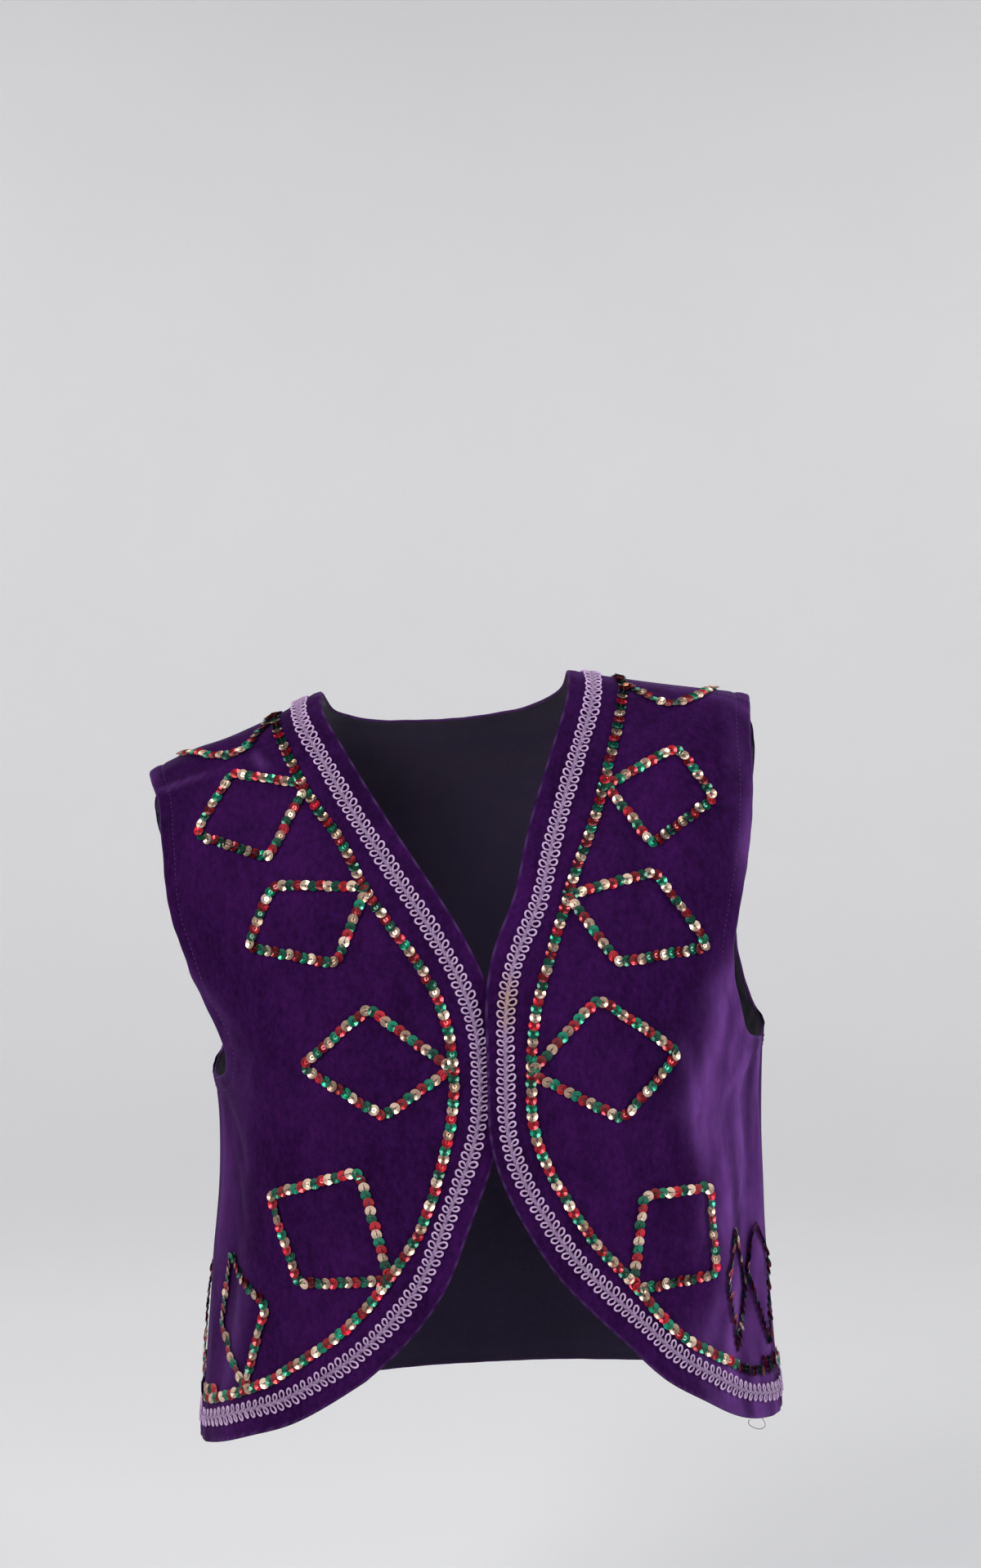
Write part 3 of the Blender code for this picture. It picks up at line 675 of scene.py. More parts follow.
def front_panel(name, edge, hem, arm, side, tucked, finer):
    """A front and the places of its long edge, from the shoulder down and round the hem."""
    arm_rows, side_rows, columns = ARM_ROWS * finer, SIDE_ROWS * finer, FRONT_COLUMNS * finer
    inner = seamed(drawn(edge, side), side)
    cut = int(np.argmax(inner[:, 1] <= EDGE_SPLIT_HEIGHT))
    upper, lower = inner[:cut + 1], inner[cut:]
    bottom = drawn(hem, side)
    foot = (side * (SIDE_SEAM - HALF_SIDE_GAP), hem[-1, 1])
    bottom = bottom[side * bottom[:, 0] < side * foot[0]]
    bottom = np.vstack([bottom, foot])
    whole_edge = np.concatenate([inner, bottom[1:]])
    inner = np.concatenate([even(upper, arm_rows), even(lower, side_rows)[1:]])
    armhole = even(drawn(arm, 1.0), arm_rows)
    armhole[0, 0] = SHOULDER_SEAM - HALF_SHOULDER_GAP
    armhole[-1] = (SIDE_SEAM - HALF_SIDE_GAP, UNDERARM_HEIGHT)
    armhole[:, 0] *= side
    seam = straight(armhole[-1], foot, side_rows)
    outer = np.concatenate([armhole, seam[1:]])
    across = crowded(columns, FRONT_CROWDING)
    down = np.linspace(0.0, 1.0, len(inner))
    run = run_of(bottom)
    bottom = read_at(bottom, run, across * run[-1])
    top = inner[0] * (1.0 - across[:, None]) + outer[0] * across[:, None]
    grid = filled(inner, outer, top, bottom, down, across)
    painted_sheen_spread = LEFT_PAINTED_SHEEN if side > 0.0 else RIGHT_PAINTED_SHEEN
    panel = Panel(name, grid, [whole_edge, armhole], [True, False], tucked, 1.0 + side, painted_sheen_spread)
    return panel, whole_edge, armhole


def back_panel(name, finer):
    """The back, with its neck edge, hem and armholes."""
    arm_rows, side_rows = ARM_ROWS * finer, SIDE_ROWS * finer
    armhole = even(drawn_by_angle(BACK_ARMHOLE), arm_rows)
    armhole[0, 0] = SHOULDER_SEAM + HALF_SHOULDER_GAP
    armhole[-1] = (SIDE_SEAM + HALF_SIDE_GAP, UNDERARM_HEIGHT)
    foot = (SIDE_SEAM + HALF_SIDE_GAP, BACK_HEM_HEIGHT)
    left = np.concatenate([armhole, straight(armhole[-1], foot, side_rows)[1:]])
    half_neck = drawn(BACK_NECK, 1.0, True)
    half_neck[:, 0] = np.maximum(half_neck[:, 0], SHOULDER_SEAM + HALF_SHOULDER_GAP)
    neck = even(half_neck, NECK_COLUMNS * finer)
    shoulder = straight(left[0], neck[0], SHOULDER_COLUMNS * finer)
    half_top = np.concatenate([shoulder, neck[1:]])
    top = np.concatenate([half_top, mirrored(half_top)[::-1][1:]])
    across = crowded(len(top) - 1, BACK_CROWDING)
    steps = np.linspace(0.0, 1.0, len(top))
    top = np.stack([np.interp(across, steps, top[:, i]) for i in range(2)], axis=-1)
    right = mirrored(left)
    bottom = left[-1] * (1.0 - across[:, None]) + right[-1] * across[:, None]
    down = np.linspace(0.0, 1.0, len(left))
    grid = filled(left, right, top, bottom, down, across)
    neck_edge = np.concatenate([half_neck, mirrored(half_neck)[::-1][1:]])
    hem_edge = straight(left[-1], right[-1], HEM_STEPS)
    edges = [neck_edge, hem_edge, armhole, mirrored(armhole)]
    panel = Panel(name, grid, edges, [True, True, False, False], False, BACK_SEED, BACK_PAINTED_SHEEN)
    return panel, neck_edge, hem_edge, armhole


def mirrored(places):
    """Places on the other side of the back."""
    return np.stack([2.0 * np.pi - places[:, 0], places[:, 1]], axis=-1)


def piece(name, points, quads, materials, picks=None, uv=None, flat=False):
    """A mesh object at the origin that rides on the vest's one body."""
    mesh = bpy.data.meshes.new(name)
    mesh.from_pydata(np.ascontiguousarray(points), [], quads.tolist())
    for finish in materials:
        mesh.materials.append(finish)
    if picks is not None:
        mesh.polygons.foreach_set("material_index", np.ascontiguousarray(picks, dtype=np.int32))
    smooth = np.full(len(mesh.polygons), not flat)
    mesh.polygons.foreach_set("use_smooth", smooth)
    if uv is not None:
        layer = mesh.uv_layers.new(name="cut")
        corners = np.empty(len(mesh.loops), dtype=np.int32)
        mesh.loops.foreach_get("vertex_index", corners)
        layer.data.foreach_set("uv", np.ascontiguousarray(uv[corners], dtype=np.float32).ravel())
    mesh.update()
    made = bpy.data.objects.new(name, mesh)
    bpy.context.scene.collection.objects.link(made)
    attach(made, "root")
    return made


def sheet_quads(rows, columns):
    """Corner numbers of the quads of a grid."""
    index = np.arange(rows * columns).reshape(rows, columns)
    a, b = index[:-1, :-1].ravel(), index[:-1, 1:].ravel()
    c, d = index[1:, 1:].ravel(), index[1:, :-1].ravel()
    return np.stack([a, b, c, d], axis=1)


def velvet_shell(panel, wall, materials):
    """A closed thin shell: the face, the wrong side, and a rim rolled round in half a circle."""
    face, normals = panel.face(panel.grid)
    wrong = face - normals * wall
    rows, columns = panel.grid.shape[:2]
    index = np.arange(rows * columns).reshape(rows, columns)
    ring = np.concatenate([index[0, :-1], index[:-1, -1], index[-1, :0:-1], index[:0:-1, 0]])
    flat_face = face.reshape(-1, 3)
    flat_normal = normals.reshape(-1, 3)
    places = panel.grid.reshape(-1, 2)[ring]
    edge, up = flat_face[ring], flat_normal[ring]
    run = unit(np.roll(edge, -1, axis=0) - np.roll(edge, 1, axis=0))
    out = unit(np.cross(run, up))
    if np.einsum("ij,ij->", out, edge - flat_face.mean(axis=0)) < 0.0:
        out = -out
    turn = np.abs(from_front(places[:, 0]))
    height = places[:, 1]
    on_side = (np.abs(turn - SIDE_SEAM) < ON_SIDE) & (height <= UNDERARM_HEIGHT + OVER_UNDERARM)
    on_top = (np.abs(turn - SHOULDER_SEAM) < ON_SHOULDER) & (height > SHOULDER_END)
    puff = np.where(on_side | on_top, SEAM_BULGE, 1.0)[:, None]
    turns = np.linspace(0.0, np.pi, RIM_STEPS)[1:-1]
    middle = edge - up * (0.5 * wall)
    rolled = [middle + 0.5 * wall * (np.cos(t) * up + np.sin(t) * puff * out) for t in turns]
    count = rows * columns
    points = np.concatenate([flat_face, wrong.reshape(-1, 3)] + rolled)
    front = sheet_quads(rows, columns)
    behind = front[:, ::-1] + count
    loops = [ring] + [2 * count + k * len(ring) + np.arange(len(ring)) for k in range(len(turns))]
    loops.append(ring + count)
    rims = []
    for near, far in zip(loops[:-1], loops[1:]):
        rims.append(np.stack([near, far, np.roll(far, -1), np.roll(near, -1)], axis=1))
    quads = np.concatenate([front, behind] + rims)
    first = points[front[0]]
    if np.dot(np.cross(first[1] - first[0], first[3] - first[0]), flat_normal[0]) < 0.0:
        quads = quads[:, ::-1]
    picks = np.zeros(len(quads), dtype=np.int32)
    picks[len(front):2 * len(front)] = 1
    across = reached(surface(panel.grid)[rows // 2])
    flat = np.stack([np.broadcast_to(across, (rows, columns)), panel.grid[..., 1] * CM], axis=-1)
    flat = flat.reshape(-1, 2)
    uv = np.concatenate([flat, flat] + [flat[ring]] * len(turns))
    made = piece(panel.name, points, quads, materials, picks, uv)
    # painted edge highlight (with the pile spread open there) and painted sheen, for the finish
    for key, values in (("edge_spread_and_highlight", panel.edge_spread_and_highlight(panel.grid)), ("painted_sheen", panel.painted_sheen(panel.grid))):
        values = values.ravel()
        values = np.concatenate([values, values] + [values[ring]] * len(turns))
        carry(made, key, values)
    return made


def carry(made, name, values):
    """Give a piece's corners a number each under a name that its finish reads."""
    layer = made.data.attributes.new(name, "FLOAT", "POINT")
    layer.data.foreach_set("value", values.astype(np.float32))


def tube(path, up, radius, sides):
    """A round yarn along a path: circles square to the run, drawn in at both ends."""
    run = unit(np.gradient(path, axis=0))
    aside = unit(np.cross(run, up))
    top = np.cross(aside, run)
    turns = np.linspace(0.0, 2.0 * np.pi, sides, endpoint=False)
    thick = np.full(len(path), radius)
    thick[0] = thick[-1] = 0.05 * radius
    circle = np.cos(turns)[None, :, None] * aside[:, None]
    circle = circle + np.sin(turns)[None, :, None] * top[:, None]
    points = path[:, None] + circle * thick[:, None, None]
    count = len(path)
    index = np.arange(count * sides).reshape(count, sides)
    after = np.roll(index, -1, axis=1)
    quads = np.stack([index[:-1], after[:-1], after[1:], index[1:]], axis=-1).reshape(-1, 4)
    length = reached(path)
    uv = np.stack([np.broadcast_to(length[:, None], (count, sides)),
                   np.broadcast_to(turns[None] / (2.0 * np.pi), (count, sides))], axis=-1)
    first = points.reshape(-1, 3)[quads[len(quads) // 2]]
    normal = np.cross(first[1] - first[0], first[3] - first[0])
    if np.dot(normal, first.mean(axis=0) - path[count // 2]) < 0.0:
        quads = quads[:, ::-1]
    return points.reshape(-1, 3), quads, uv.reshape(-1, 2)


def joined(parts):
    """Several (points, quads, uv) as one."""
    starts = np.cumsum([0] + [len(part[0]) for part in parts[:-1]])
    points = np.concatenate([part[0] for part in parts])
    quads = np.concatenate([part[1] + start for part, start in zip(parts, starts)])
    return points, quads, np.concatenate([part[2] for part in parts])


class Track:
    """A line laid on a panel, with a frame that moves along it."""

    def __init__(self, panel, line, lift):
        run = run_of(line)
        self.length = run[-1]
        count = max(8, int(self.length / (1.0 * MM)))
        self.run = np.linspace(0.0, self.length, count)
        places = read_at(line, run, self.run)
        self.points, self.up = panel.face(places, lift)
        smooth = self.points.copy()
        for _ in range(3):
            smooth[1:-1] = 0.25 * smooth[:-2] + 0.5 * smooth[1:-1] + 0.25 * smooth[2:]
        self.points = smooth
        self.along = unit(np.gradient(self.points, axis=0))
        self.aside = unit(np.cross(self.up, self.along))
        self.up = unit(np.cross(self.along, self.aside))

    def read(self, values, run):
        """Vectors of the track read at distances along it."""
        return np.stack([np.interp(run, self.run, values[:, i]) for i in range(3)], axis=-1)

    def laid(self, run, aside, up):
        """Points at distances along, beside and above the track."""
        base = self.read(self.points, run)
        sideways = unit(self.read(self.aside, run))
        normal = unit(self.read(self.up, run))
        return base + sideways * aside[:, None] + normal * up[:, None], normal


def gimp_yarns(track, pitch, yarn, reach):
    """Looped gimp as round yarns.

    Each border yarn is a looping wheel track.  Its run is steady plus a sine that is wide
    enough to curl it back on itself, less a share of its reach, which leans the loops toward
    the shoulder.  Its reach is one less a cosine, from just past the middle, where the two
    borders cross, to the end of the loop.  Two slow sines make the loops a little uneven.
    Two heart strands lie side by side under them.
    """
    loops = int(track.length / pitch)
    pitch = track.length / loops
    turn = np.linspace(0.0, 2.0 * np.pi * loops, loops * LOOP_STEPS + 1)
    parts, inner = [], []
    for side in (-1.0, 1.0):
        phase = turn + LOOP_TURN * side
        swing = 0.5 - 0.5 * np.cos(phase)
        uneven = 1.0 + UNEVEN * np.sin(phase * 0.37 + side) + UNEVEN * np.sin(phase * 0.113)
        run = turn / (2.0 * np.pi) * pitch + LOOP_CURL * uneven * np.sin(phase) - LOOP_LEAN * swing
        aside = side * ((reach - yarn + CROSSING) * swing * uneven - CROSSING)
        over = (0.30 + 0.25 * side) * MM * (1.0 - swing)
        lift = yarn + 0.1 * MM + 0.42 * MM * (1.0 - np.sin(phase)) * swing + over
        path, up = track.laid(np.clip(run, 0.0, track.length), aside, lift)
        parts.append(tube(path, up, yarn, YARN_SIDES))
        # painted shade: one on the inner bows, where they lie under the crossing loops
        inner.append(np.repeat(1.0 - swing, YARN_SIDES))
    steps = np.linspace(0.0, track.length, loops * HEART_STEPS)
    wave = steps / pitch * 2.0 * np.pi
    for side in (-1.0, 1.0):
        aside = side * (HEART_ASIDE + 0.15 * MM * np.sin(wave))
        lift = yarn + 0.15 * MM * np.sin(wave + 1.0)
        path, up = track.laid(steps, aside, lift)
        parts.append(tube(path, up, 0.9 * yarn, YARN_SIDES))
        # painted shade: the heart strands lie under the loops
        inner.append(np.ones(YARN_SIDES * len(steps)))
    return *joined(parts), np.concatenate(inner)


def hashed(numbers, salt):
    """Steady made-up fractions from 0 to 1 for whole numbers."""
    return np.modf(np.abs(np.sin(numbers * 12.9898 + salt * 78.233)) * 43758.5453)[0]


def cup(radius):
    """One cupped sequin as points and quads: a pierced flat middle and a raised faceted rim.

    Every other corner of the rim stands a little higher.  The thin edge closes to the
    underside, which comes back in to the hole.
    """
    turns = np.linspace(0.0, 2.0 * np.pi, CUP_SIDES, endpoint=False)
    facet = 0.03 * MM * np.cos(0.5 * CUP_SIDES * turns)
    rings = []
    for reach, height, share in CUP_SECTION:
        across = reach * radius * np.cos(turns)
        up = reach * radius * np.sin(turns)
        rings.append(np.stack([across, up, height * MM + share * facet], axis=-1))
    index = np.arange(len(rings) * CUP_SIDES).reshape(len(rings), CUP_SIDES)
    after = np.roll(index, -1, axis=1)
    below, after_below = np.roll(index, -1, axis=0), np.roll(after, -1, axis=0)
    quads = np.stack([index, below, after_below, after], axis=-1)
    return np.concatenate(rings), quads.reshape(-1, 4)


def sequin_row(track, spacing, radius, start_colour, salt, turned, spared):
    """A row of overlapping sequins, their colour numbers, and the thread that holds them.

    Each lies with its lower end on the next like a scale, the gold ones a little proud, and is
    tipped, rolled about the row and spun by steady made-up amounts.  A turned row is also
    tipped on edge toward the back past its spared run, as where the cloth folds away.
    """
    count = max(2, int(round(track.length / spacing)))
    at = (np.arange(count) + 0.5) * track.length / count
    number = np.arange(count)
    colour = (number + start_colour) % 3
    tip = np.radians(TIP + TIP_SPREAD * (hashed(number, salt) - 0.5))
    roll = np.radians(ROLL_SPREAD * (hashed(number, salt + 1.0) - 0.5))
    shift = SHIFT_SPREAD * (hashed(number, salt + 2.0) - 0.5)
    base = SEQUIN_LIFT - COLOUR_STEP * colour
    centre, up = track.laid(at, shift, base * MM)
    on_edge = turned * (at > spared)
    up = unit(up + on_edge[:, None] * np.array([0.0, 1.0, 0.0]))
    along = track.read(track.along, at)
    along = unit(along - up * np.einsum("ij,ij->i", along, up)[:, None])
    tipped = along * np.cos(tip)[:, None] + up * np.sin(tip)[:, None]
    normal = up * np.cos(tip)[:, None] - along * np.sin(tip)[:, None]
    aside = np.cross(normal, tipped)
    rolled = aside * np.cos(roll)[:, None] + normal * np.sin(roll)[:, None]
    normal = normal * np.cos(roll)[:, None] - aside * np.sin(roll)[:, None]
    points, quads = cup(radius)
    spin = 2.0 * np.pi * hashed(number, salt + 3.0)
    cosine, sine = np.cos(spin)[:, None], np.sin(spin)[:, None]
    x = points[:, 0][None] * cosine - points[:, 1][None] * sine
    y = points[:, 0][None] * sine + points[:, 1][None] * cosine
    placed = centre[:, None] + x[..., None] * tipped[:, None] + y[..., None] * rolled[:, None]
    placed = placed + points[:, 2][None, :, None] * normal[:, None]
    all_quads = quads[None] + (number * len(points))[:, None, None]
    picks = np.repeat(colour, len(quads))
    tone = np.repeat(hashed(number, salt + 4.0)**TONE_POWER, len(points))
    hops = HOPS * track.length / count
    run = (at[:, None] + hops[None]).ravel()
    rise = (np.repeat(base, len(HOPS)) + np.tile(HOP_RISE, count)) * MM
    keep = run < track.length
    path, path_up = track.laid(run[keep], np.repeat(shift, len(HOPS))[keep], rise[keep])
    thread = tube(path, path_up, HOLDING_THREAD, THREAD_SIDES)
    return placed.reshape(-1, 3), all_quads.reshape(-1, 4), picks, tone, thread


def rounded_corners(corners):
    """A closed ring of places from corner to corner, straight on the cloth, corners cut off.

    A diamond's four corners are drawn out from its middle first.
    """
    corners = np.array([(np.radians(a), h) for a, h in corners])
    if len(corners) == 4:
        middle = corners.mean(axis=0)
        corners = middle + DIAMOND_GROWTH * (corners - middle)
    points = surface(corners)
    parts, starts = [], []
    for i in range(len(points)):
        j = (i + 1) % len(points)
        length = np.linalg.norm(points[j] - points[i])
        ends = CORNER_CUT / length
        share = np.linspace(ends, 1.0 - ends, CORNER_STEPS)[:, None]
        parts.append(points[i] * (1.0 - share) + points[j] * share)
        starts.append(corners[i] * (1.0 - share) + corners[j] * share)
    wanted = np.concatenate(parts + [parts[0][:1]])
    begun = np.concatenate(starts + [starts[0][:1]])
    return pressed(wanted, begun)


def stitches(panel, line, toward):
    """Short sewn stitches beside an edge: small arcs that rise from the cloth and dip again."""
    line = set_back(even(line, SHORT_EDGE_STEPS), toward, STITCH_INSET)
    track = Track(panel, line, STITCH_LIFT)
    count = int(track.length / STITCH_PITCH)
    starts = (np.arange(count) + STITCH_START) * track.length / count
    spots = starts[:, None] + np.linspace(0.0, STITCH_LENGTH, len(STITCH_RISE))[None]
    path, up = track.laid(spots.ravel(), np.zeros(spots.size), np.tile(STITCH_RISE, count))
    each = (count, len(STITCH_RISE), 3)
    return joined([tube(one, normal, STITCH_RADIUS, THREAD_SIDES)
                   for one, normal in zip(path.reshape(each), up.reshape(each))])


class Sum:
    """A shader value that can be added, multiplied and raised like a number."""

    def __init__(self, tree, socket):
        self.tree = tree
        self.socket = socket

    def node(self, kind, settings=None, out=0, **inputs):
        """The value that a new node of a kind gives out, with its settings and inputs."""
        made = self.tree.nodes.new(kind)
        for key, value in (settings or {}).items():
            setattr(made, key, value)
        for key, value in inputs.items():
            by_number = key[0] == "i" and key[1:].isdigit()
            socket = made.inputs[int(key[1:]) if by_number else key]
            if isinstance(value, Sum):
                self.tree.links.new(value.socket, socket)
            else:
                socket.default_value = value
        return Sum(self.tree, made.outputs[out])

    def maths(self, operation, *values):
        """A Math node over the values."""
        return self.node("ShaderNodeMath", {"operation": operation},
                         **{f"i{n}": value for n, value in enumerate(values)})

    def __add__(self, other):
        return self.maths("ADD", self, other)

    def __radd__(self, other):
        return self.maths("ADD", other, self)

    def __sub__(self, other):
        return self.maths("SUBTRACT", self, other)

    def __rsub__(self, other):
        return self.maths("SUBTRACT", other, self)

    def __mul__(self, other):
        return self.maths("MULTIPLY", self, other)

    def __rmul__(self, other):
        return self.maths("MULTIPLY", other, self)

    def __truediv__(self, other):
        return self.maths("DIVIDE", self, other)

    def __pow__(self, other):
        return self.maths("POWER", self, other)

    def clamped(self):
        """The value kept between 0 and 1."""
        return self.maths("MINIMUM", self.maths("MAXIMUM", self, 0.0), 1.0)


class Finish:
    """A material with a Principled shader and tools to feed it."""

    def __init__(self, name, **constants):
        self.material = bpy.data.materials.new(name)
        self.material.use_nodes = True
        self.tree = self.material.node_tree
        self.shader = self.tree.nodes["Principled BSDF"]
        self.start = Sum(self.tree, None)
        for key, value in constants.items():
            self.shader.inputs[key.replace("_", " ")].default_value = value

    def place(self, stretch=(1.0, 1.0, 1.0)):
        """Object coordinates, stretched."""
        where = self.start.node("ShaderNodeTexCoord", out="Object")
        return self.start.node("ShaderNodeMapping", Vector=where, Scale=stretch)

    def cut(self):
        """The two values of the piece's own map."""
        where = self.start.node("ShaderNodeUVMap", {"uv_map": "cut"})
        split = self.start.node("ShaderNodeSeparateXYZ", i0=where)
        return split, Sum(self.tree, split.socket.node.outputs[1])

    def attribute(self, name):
        """The number that a piece's mesh carries under a name."""
        return self.start.node("ShaderNodeAttribute", {"attribute_name": name}, out="Fac")

    def noise(self, place, scale, detail=2.0):
        """Noise from 0 to 1 at a place."""
        return self.start.node("ShaderNodeTexNoise", None, Vector=place, Scale=scale, Detail=detail)

    def mix(self, factor, first, second):
        """A colour between two colours."""
        first, second = (colour if isinstance(colour, Sum) else (*colour, 1.0)
                         for colour in (first, second))
        return self.start.node("ShaderNodeMix", {"data_type": "RGBA"}, out=2,
                               i0=factor, i6=first, i7=second)

    def feed(self, name, value):
        """Link a value to the shader's socket."""
        self.tree.links.new(value.socket, self.shader.inputs[name])

    def bump(self, height, distance, strength=1.0):
        """A bump from a height, linked to the shader."""
        self.feed("Normal", self.start.node("ShaderNodeBump", None, Height=height,
                                            Distance=distance, Strength=strength))


# ribs of the weave (radians a metre), plies of the yarn and the thread (turns a metre), reach
# of the stain, and the colours that no setting holds
WEAVE = 5200.0
YARN_PLIES, THREAD_PLIES = 900.0, 2400.0
FULL_TURN = 6.2832
STAIN_REACH = 0.017
STAIN_COLOUR = (0.40, 0.25, 0.15)
# painted highlight colour of the free edges, with the pile spread open there
EDGE_SPREAD_AND_HIGHLIGHT_COLOUR = (0.10, 0.05, 0.16)
BACKING_COLOURS = (0.006, 0.003, 0.014), (0.022, 0.011, 0.045)


def velvet_finish(settings):
    """Deep velvet: dark in its pile's depth, brushed lighter and darker, with a soft sheen."""
    finish = Finish("velvet_pile", Roughness=0.9, Specular_IOR_Level=0.05,
                    Sheen_Weight=settings.sheen, Sheen_Roughness=0.30,
                    Sheen_Tint=(0.62, 0.42, 0.85, 1.0))
    broad = finish.noise(finish.place((1.0, 1.0, 0.5)), scale=26.0, detail=3.0)
    brushed = finish.noise(finish.place((1.0, 1.0, 0.45)), scale=150.0, detail=4.0)
    crushed = finish.noise(finish.place((1.0, 1.0, 0.7)), scale=430.0, detail=3.0)
    grain = finish.noise(finish.place(), scale=1500.0)
    light = 0.34 + (broad - 0.5) * 1.2 + (brushed - 0.5) * 0.6
    light = light + (crushed - 0.5) * 1.1 + (grain - 0.5)
    dark = tuple(settings.velvet_dark)
    pale = tuple(settings.velvet_light)
    pile = finish.mix(light.clamped(), dark, pale)
    # painted sheen: the pile painted paler on the sides and on crease ridges, streaked by noise
    painted_sheen = finish.attribute("painted_sheen") * (0.25 + brushed * 1.1)
    pile = finish.mix(painted_sheen.clamped(), pile, tuple(settings.velvet_painted_sheen))
    # painted highlight on the free edges, with the pile spread open there
    edge_spread_and_highlight = finish.attribute("edge_spread_and_highlight") * 0.4
    finish.feed("Base Color", finish.mix(edge_spread_and_highlight, pile, EDGE_SPREAD_AND_HIGHLIGHT_COLOUR))
    finish.bump(grain * 0.7 + brushed * 0.8, 0.35 * MM, strength=0.45)
    return finish.material


def backing_finish():
    """The velvet's wrong side: plain dark weave."""
    finish = Finish("velvet_backing", Roughness=0.85, Specular_IOR_Level=0.2, Sheen_Weight=0.25)
    across, down = finish.cut()
    ribs = across.maths("SINE", across * WEAVE) * across.maths("SINE", down * WEAVE)
    tone = (ribs * 0.5 + 0.5) * 0.6 + finish.noise(finish.place(), scale=60.0) * 0.4
    finish.feed("Base Color", finish.mix(tone, *BACKING_COLOURS))
    finish.bump(ribs, 0.12 * MM, strength=0.6)
    return finish.material


def yarn_finish(name, dark, light, stain_at=None):
    """Lavender two-ply yarn: slanting plies, small fibres and, at one place, a faint stain."""
    finish = Finish(name, Roughness=0.5, Sheen_Weight=0.4, Sheen_Tint=(0.95, 0.85, 1.0, 1.0))
    along, round_it = finish.cut()
    plies = along.maths("SINE", (along * YARN_PLIES + round_it * 2.0) * FULL_TURN) * 0.5 + 0.5
    uneven = finish.noise(finish.place(), scale=260.0, detail=3.0)
    # painted shade between the plies and painted highlight on them, with random unevenness
    shade = (plies * 0.45 + uneven * 0.8 - 0.1).clamped()
    colour = finish.mix(shade, dark, light)
    # painted shade: inner bows and heart strands darkened under the crossing loops
    painted_heart_shade = (finish.attribute("inner")**1.5 * 0.7).clamped()
    colour = finish.mix(painted_heart_shade, colour, tuple(HEART_SHADE * part for part in dark))
    if stain_at:
        where = finish.start.node("ShaderNodeTexCoord", out="Object")
        apart = finish.start.node("ShaderNodeVectorMath", {"operation": "DISTANCE"}, out="Value",
                                  i0=where, i1=stain_at)
        worn = (1.0 - apart / STAIN_REACH).clamped() * (uneven * 2.4)
        colour = finish.mix(worn.clamped() * 0.7, colour, STAIN_COLOUR)
    finish.feed("Base Color", colour)
    finish.bump(plies + uneven * 0.5, 0.14 * MM, strength=0.7)
    return finish.material


def foil_finish(name, deep, bright, metal, rough):
    """Thin coloured foil: its tone differs from sequin to sequin and across each one."""
    finish = Finish(name, Metallic=metal, Coat_Weight=0.6, Coat_Roughness=0.08)
    tone = finish.attribute("tone")
    speck = finish.noise(finish.place(), scale=900.0)
    finish.feed("Base Color", finish.mix((tone * 0.8 + speck * 0.3).clamped(), deep, bright))
    finish.feed("Roughness", rough + speck * 0.12)
    return finish.material


def thread_finish(name, dark, pale):
    """Plain sewing thread with fine plies."""
    finish = Finish(name, Roughness=0.6)
    along, round_it = finish.cut()
    # painted shade between the plies
    plies = along.maths("SINE", (along * THREAD_PLIES + round_it) * FULL_TURN) * 0.5 + 0.5
    finish.feed("Base Color", finish.mix(plies, dark, pale))
    finish.bump(plies, 0.05 * MM, strength=0.5)
    return finish.material


def wall_finish(name, colour, grain):
    """Smooth pale studio paint."""
    finish = Finish(name, Roughness=0.9)
    patch = finish.noise(finish.place(), scale=grain, detail=3.0)
    dimmer = tuple(0.96 * part for part in colour)
    finish.feed("Base Color", finish.mix(patch, dimmer, colour))
    finish.bump(patch, 0.6 * MM, strength=0.4)
    return finish.material


class VEST_PG_cloth(bpy.types.PropertyGroup):
    """Sizes and colours of the velvet."""

    wall: bpy.props.FloatProperty(
        name="Velvet thickness", description="Thickness of a panel with its pile",
        default=1.9 * MM, min=1.0 * MM, max=3.0 * MM, unit="LENGTH", precision=4)
    finer: bpy.props.IntProperty(
        name="Finer rows", description="How many times finer the velvet is than its solid",
        default=5, min=1, max=5)
    sheen: bpy.props.FloatProperty(
        name="Pile sheen", description="Strength of the pile's glow at the sides",
        default=0.12, min=0.0, max=1.0, subtype="FACTOR")
    velvet_dark: bpy.props.FloatVectorProperty(
        name="Velvet, deep", description="Colour in the depth of the pile",
        default=(0.0115, 0.001, 0.0235), min=0.0, max=1.0, subtype="COLOR")
    velvet_light: bpy.props.FloatVectorProperty(
        name="Velvet, brushed", description="Colour of the pile brushed toward the light",
        default=(0.041, 0.0045, 0.074), min=0.0, max=1.0, subtype="COLOR")
    # painted sheen colour of the pile on the sides and crease ridges
    velvet_painted_sheen: bpy.props.FloatVectorProperty(
        name="Velvet, painted sheen", description="Colour of the painted sheen on the pile's sides and crease ridges",
        default=(0.140, 0.046, 0.230), min=0.0, max=1.0, subtype="COLOR")


